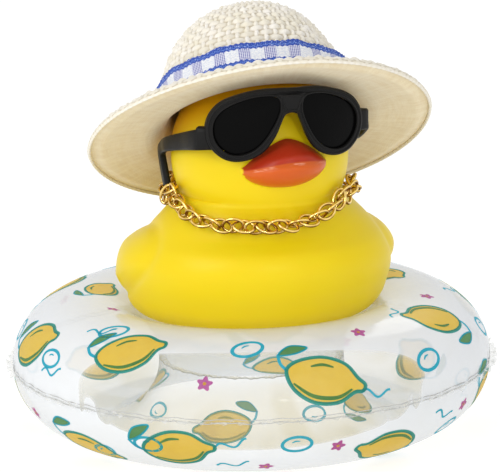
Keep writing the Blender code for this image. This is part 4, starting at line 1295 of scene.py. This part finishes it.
def build_chain():
    path = [chain_point(turn) for turn in circle(CHAIN_STEPS)]
    path.append(path[0])
    cuts, _ = even_cuts([point for point, _ in path], CHAIN_LINKS)
    verts, faces = [], []
    for link, (at, t) in enumerate(cuts[:-1]):
        here, after = path[at:at + 2]
        middle, normal = here[0].lerp(after[0], t), here[1].lerp(after[1], t).normalized()
        run = (after[0] - here[0]).normalized()
        tall = normal.cross(run).normalized()
        jitter, again = scatter(link * 12.9898), scatter(link * 78.233, 12543.1234)
        roll = radians((46.0 if link % 2 else -24.0) + 44.0 * (jitter - 0.5))
        pitch = radians(30.0 * (again - 0.5))
        spin = radians(36.0 * (jitter + again - 1.0))
        middle = middle + tall * 0.3 * MM * (again - 0.5)
        face = (tall * cos(roll) + normal * sin(roll)).normalized()
        depth = run.cross(face).normalized()
        run = (run * cos(pitch) + face * sin(pitch)).normalized()
        run = (run * cos(spin * 0.5) + depth * sin(spin * 0.5)).normalized()
        face = depth.cross(run).normalized()
        depth = run.cross(face).normalized()
        first = len(verts)
        for a in circle(LINK_COLUMNS):
            centre = middle + run * LINK_HALF_LONG * cos(a) + face * LINK_HALF_WIDE * sin(a)
            out = (run * cos(a) / LINK_HALF_LONG + face * sin(a) / LINK_HALF_WIDE).normalized()
            for b in circle(LINK_SIDES):
                verts.append(tuple(on_duck(centre + out * LINK_WIRE * cos(b) + depth * LINK_WIRE * sin(b))))
        for i in range(LINK_COLUMNS):
            for j in range(LINK_SIDES):
                corners = ((i, j), (i, j + 1), (i + 1, j + 1), (i + 1, j))
                faces.append([first + k % LINK_COLUMNS * LINK_SIDES + m % LINK_SIDES for k, m in corners])
    mesh = bpy.data.meshes.new("chain")
    mesh.from_pydata(verts, [], faces)
    with edited(mesh) as form:
        bmesh.ops.recalc_face_normals(form, faces=form.faces)
    mesh.shade_smooth()
    add_piece("chain", mesh, [gold_finish()], ["neck_chain"])


def dress_small_nodes():
    """Finishes for the parts whose solids stay."""
    finishes = {
        "inflation_valve": plastic_finish("milky_valve_vinyl", (0.86, 0.89, 0.91), (0.76, 0.80, 0.84), 0.22, 0.8),
        "valve_plug": plastic_finish("milky_plug_vinyl", (0.88, 0.91, 0.93), (0.79, 0.83, 0.87), 0.2, 0.85),
        "squeaker": plastic_finish("squeaker_plastic", (0.82, 0.82, 0.79), (0.72, 0.72, 0.70), 0.4),
    }
    for name, finish in finishes.items():
        node = bpy.data.objects[name]
        if not node.material_slots:
            node.data.materials.append(finish)
        for slot in node.material_slots:
            slot.material = finish


# Surroundings


def build_camera():
    camera = bpy.data.cameras.new("camera")
    camera.sensor_width = SENSOR_WIDTH
    camera.lens = SENSOR_WIDTH * FOCAL_PIXELS / PHOTO_SIZE[0]
    camera.clip_start = 0.01
    turn, rise, roll = (radians(v) for v in (CAMERA_TURN, CAMERA_RISE, CAMERA_ROLL))
    back = Vector((sin(turn) * cos(rise), -cos(turn) * cos(rise), sin(rise)))
    right = Vector((cos(turn), sin(turn), 0.0))
    up = back.cross(right)
    rolled_right = cos(roll) * right - sin(roll) * up
    rolled_up = sin(roll) * right + cos(roll) * up
    base = Matrix((rolled_right, rolled_up, back)).transposed()
    aside, down = ((pixel - size / 2.0) / FOCAL_PIXELS for pixel, size in zip(RING_PIXEL, PHOTO_SIZE))
    aim = Vector((aside, -down, -1.0)).normalized()
    swing = Vector((0.0, 0.0, -1.0)).rotation_difference(aim).to_matrix()
    holder = put("camera", camera)
    place = Vector((0.0, 0.0, SEAM)) + CAMERA_DISTANCE * back
    holder.matrix_world = Matrix.Translation(place) @ (base @ swing.inverted()).to_4x4()
    bpy.context.scene.camera = holder


def build_floor():
    mesh = bpy.data.meshes.new("floor")
    corners = ((-1, -1), (1, -1), (1, 1), (-1, 1))
    mesh.from_pydata([(x * FLOOR_HALF, y * FLOOR_HALF, FLOOR_LOW) for x, y in corners], [], [(0, 1, 2, 3)])
    plane = put("floor", mesh)
    n = Nodes("white_floor")
    mesh.materials.append(n.set(
        Base_Color=(0.34, 0.34, 0.34), Roughness=0.9, Specular_IOR_Level=0.0, Emission_Color=(1.0, 1.0, 1.0),
        Emission_Strength=n.range(n.seen(), 0.0, 1.0, 0.80, 0.78, smooth=False)))


def build_light():
    n = Nodes("studio", bpy.data.worlds, "Background")
    strength = n.range(n.seen(), 0.0, 1.0, 0.66, 1.0, smooth=False)
    bpy.context.scene.world = n.set(Color=(1.0, 1.0, 1.0), Strength=strength)
    for name, place, size, power, colour in LIGHTS:
        light = bpy.data.lights.new(name, "AREA")
        light.shape = "ELLIPSE"
        light.size, light.size_y = size
        light.energy = power
        light.color = colour
        holder = put(name, light)
        holder.location = place
        holder.rotation_euler = (Vector(LIGHT_TARGET) - Vector(place)).to_track_quat("-Z", "Y").to_euler()


def main():
    build_camera()
    build_duck()
    build_films()
    build_flange()
    build_print()
    build_straw()
    build_lining()
    build_ribbon()
    build_glasses()
    build_chain()
    dress_small_nodes()
    build_floor()
    build_light()
    bpy.context.scene.view_settings.view_transform = "Standard"


main()
bpy.context.view_layer.update()
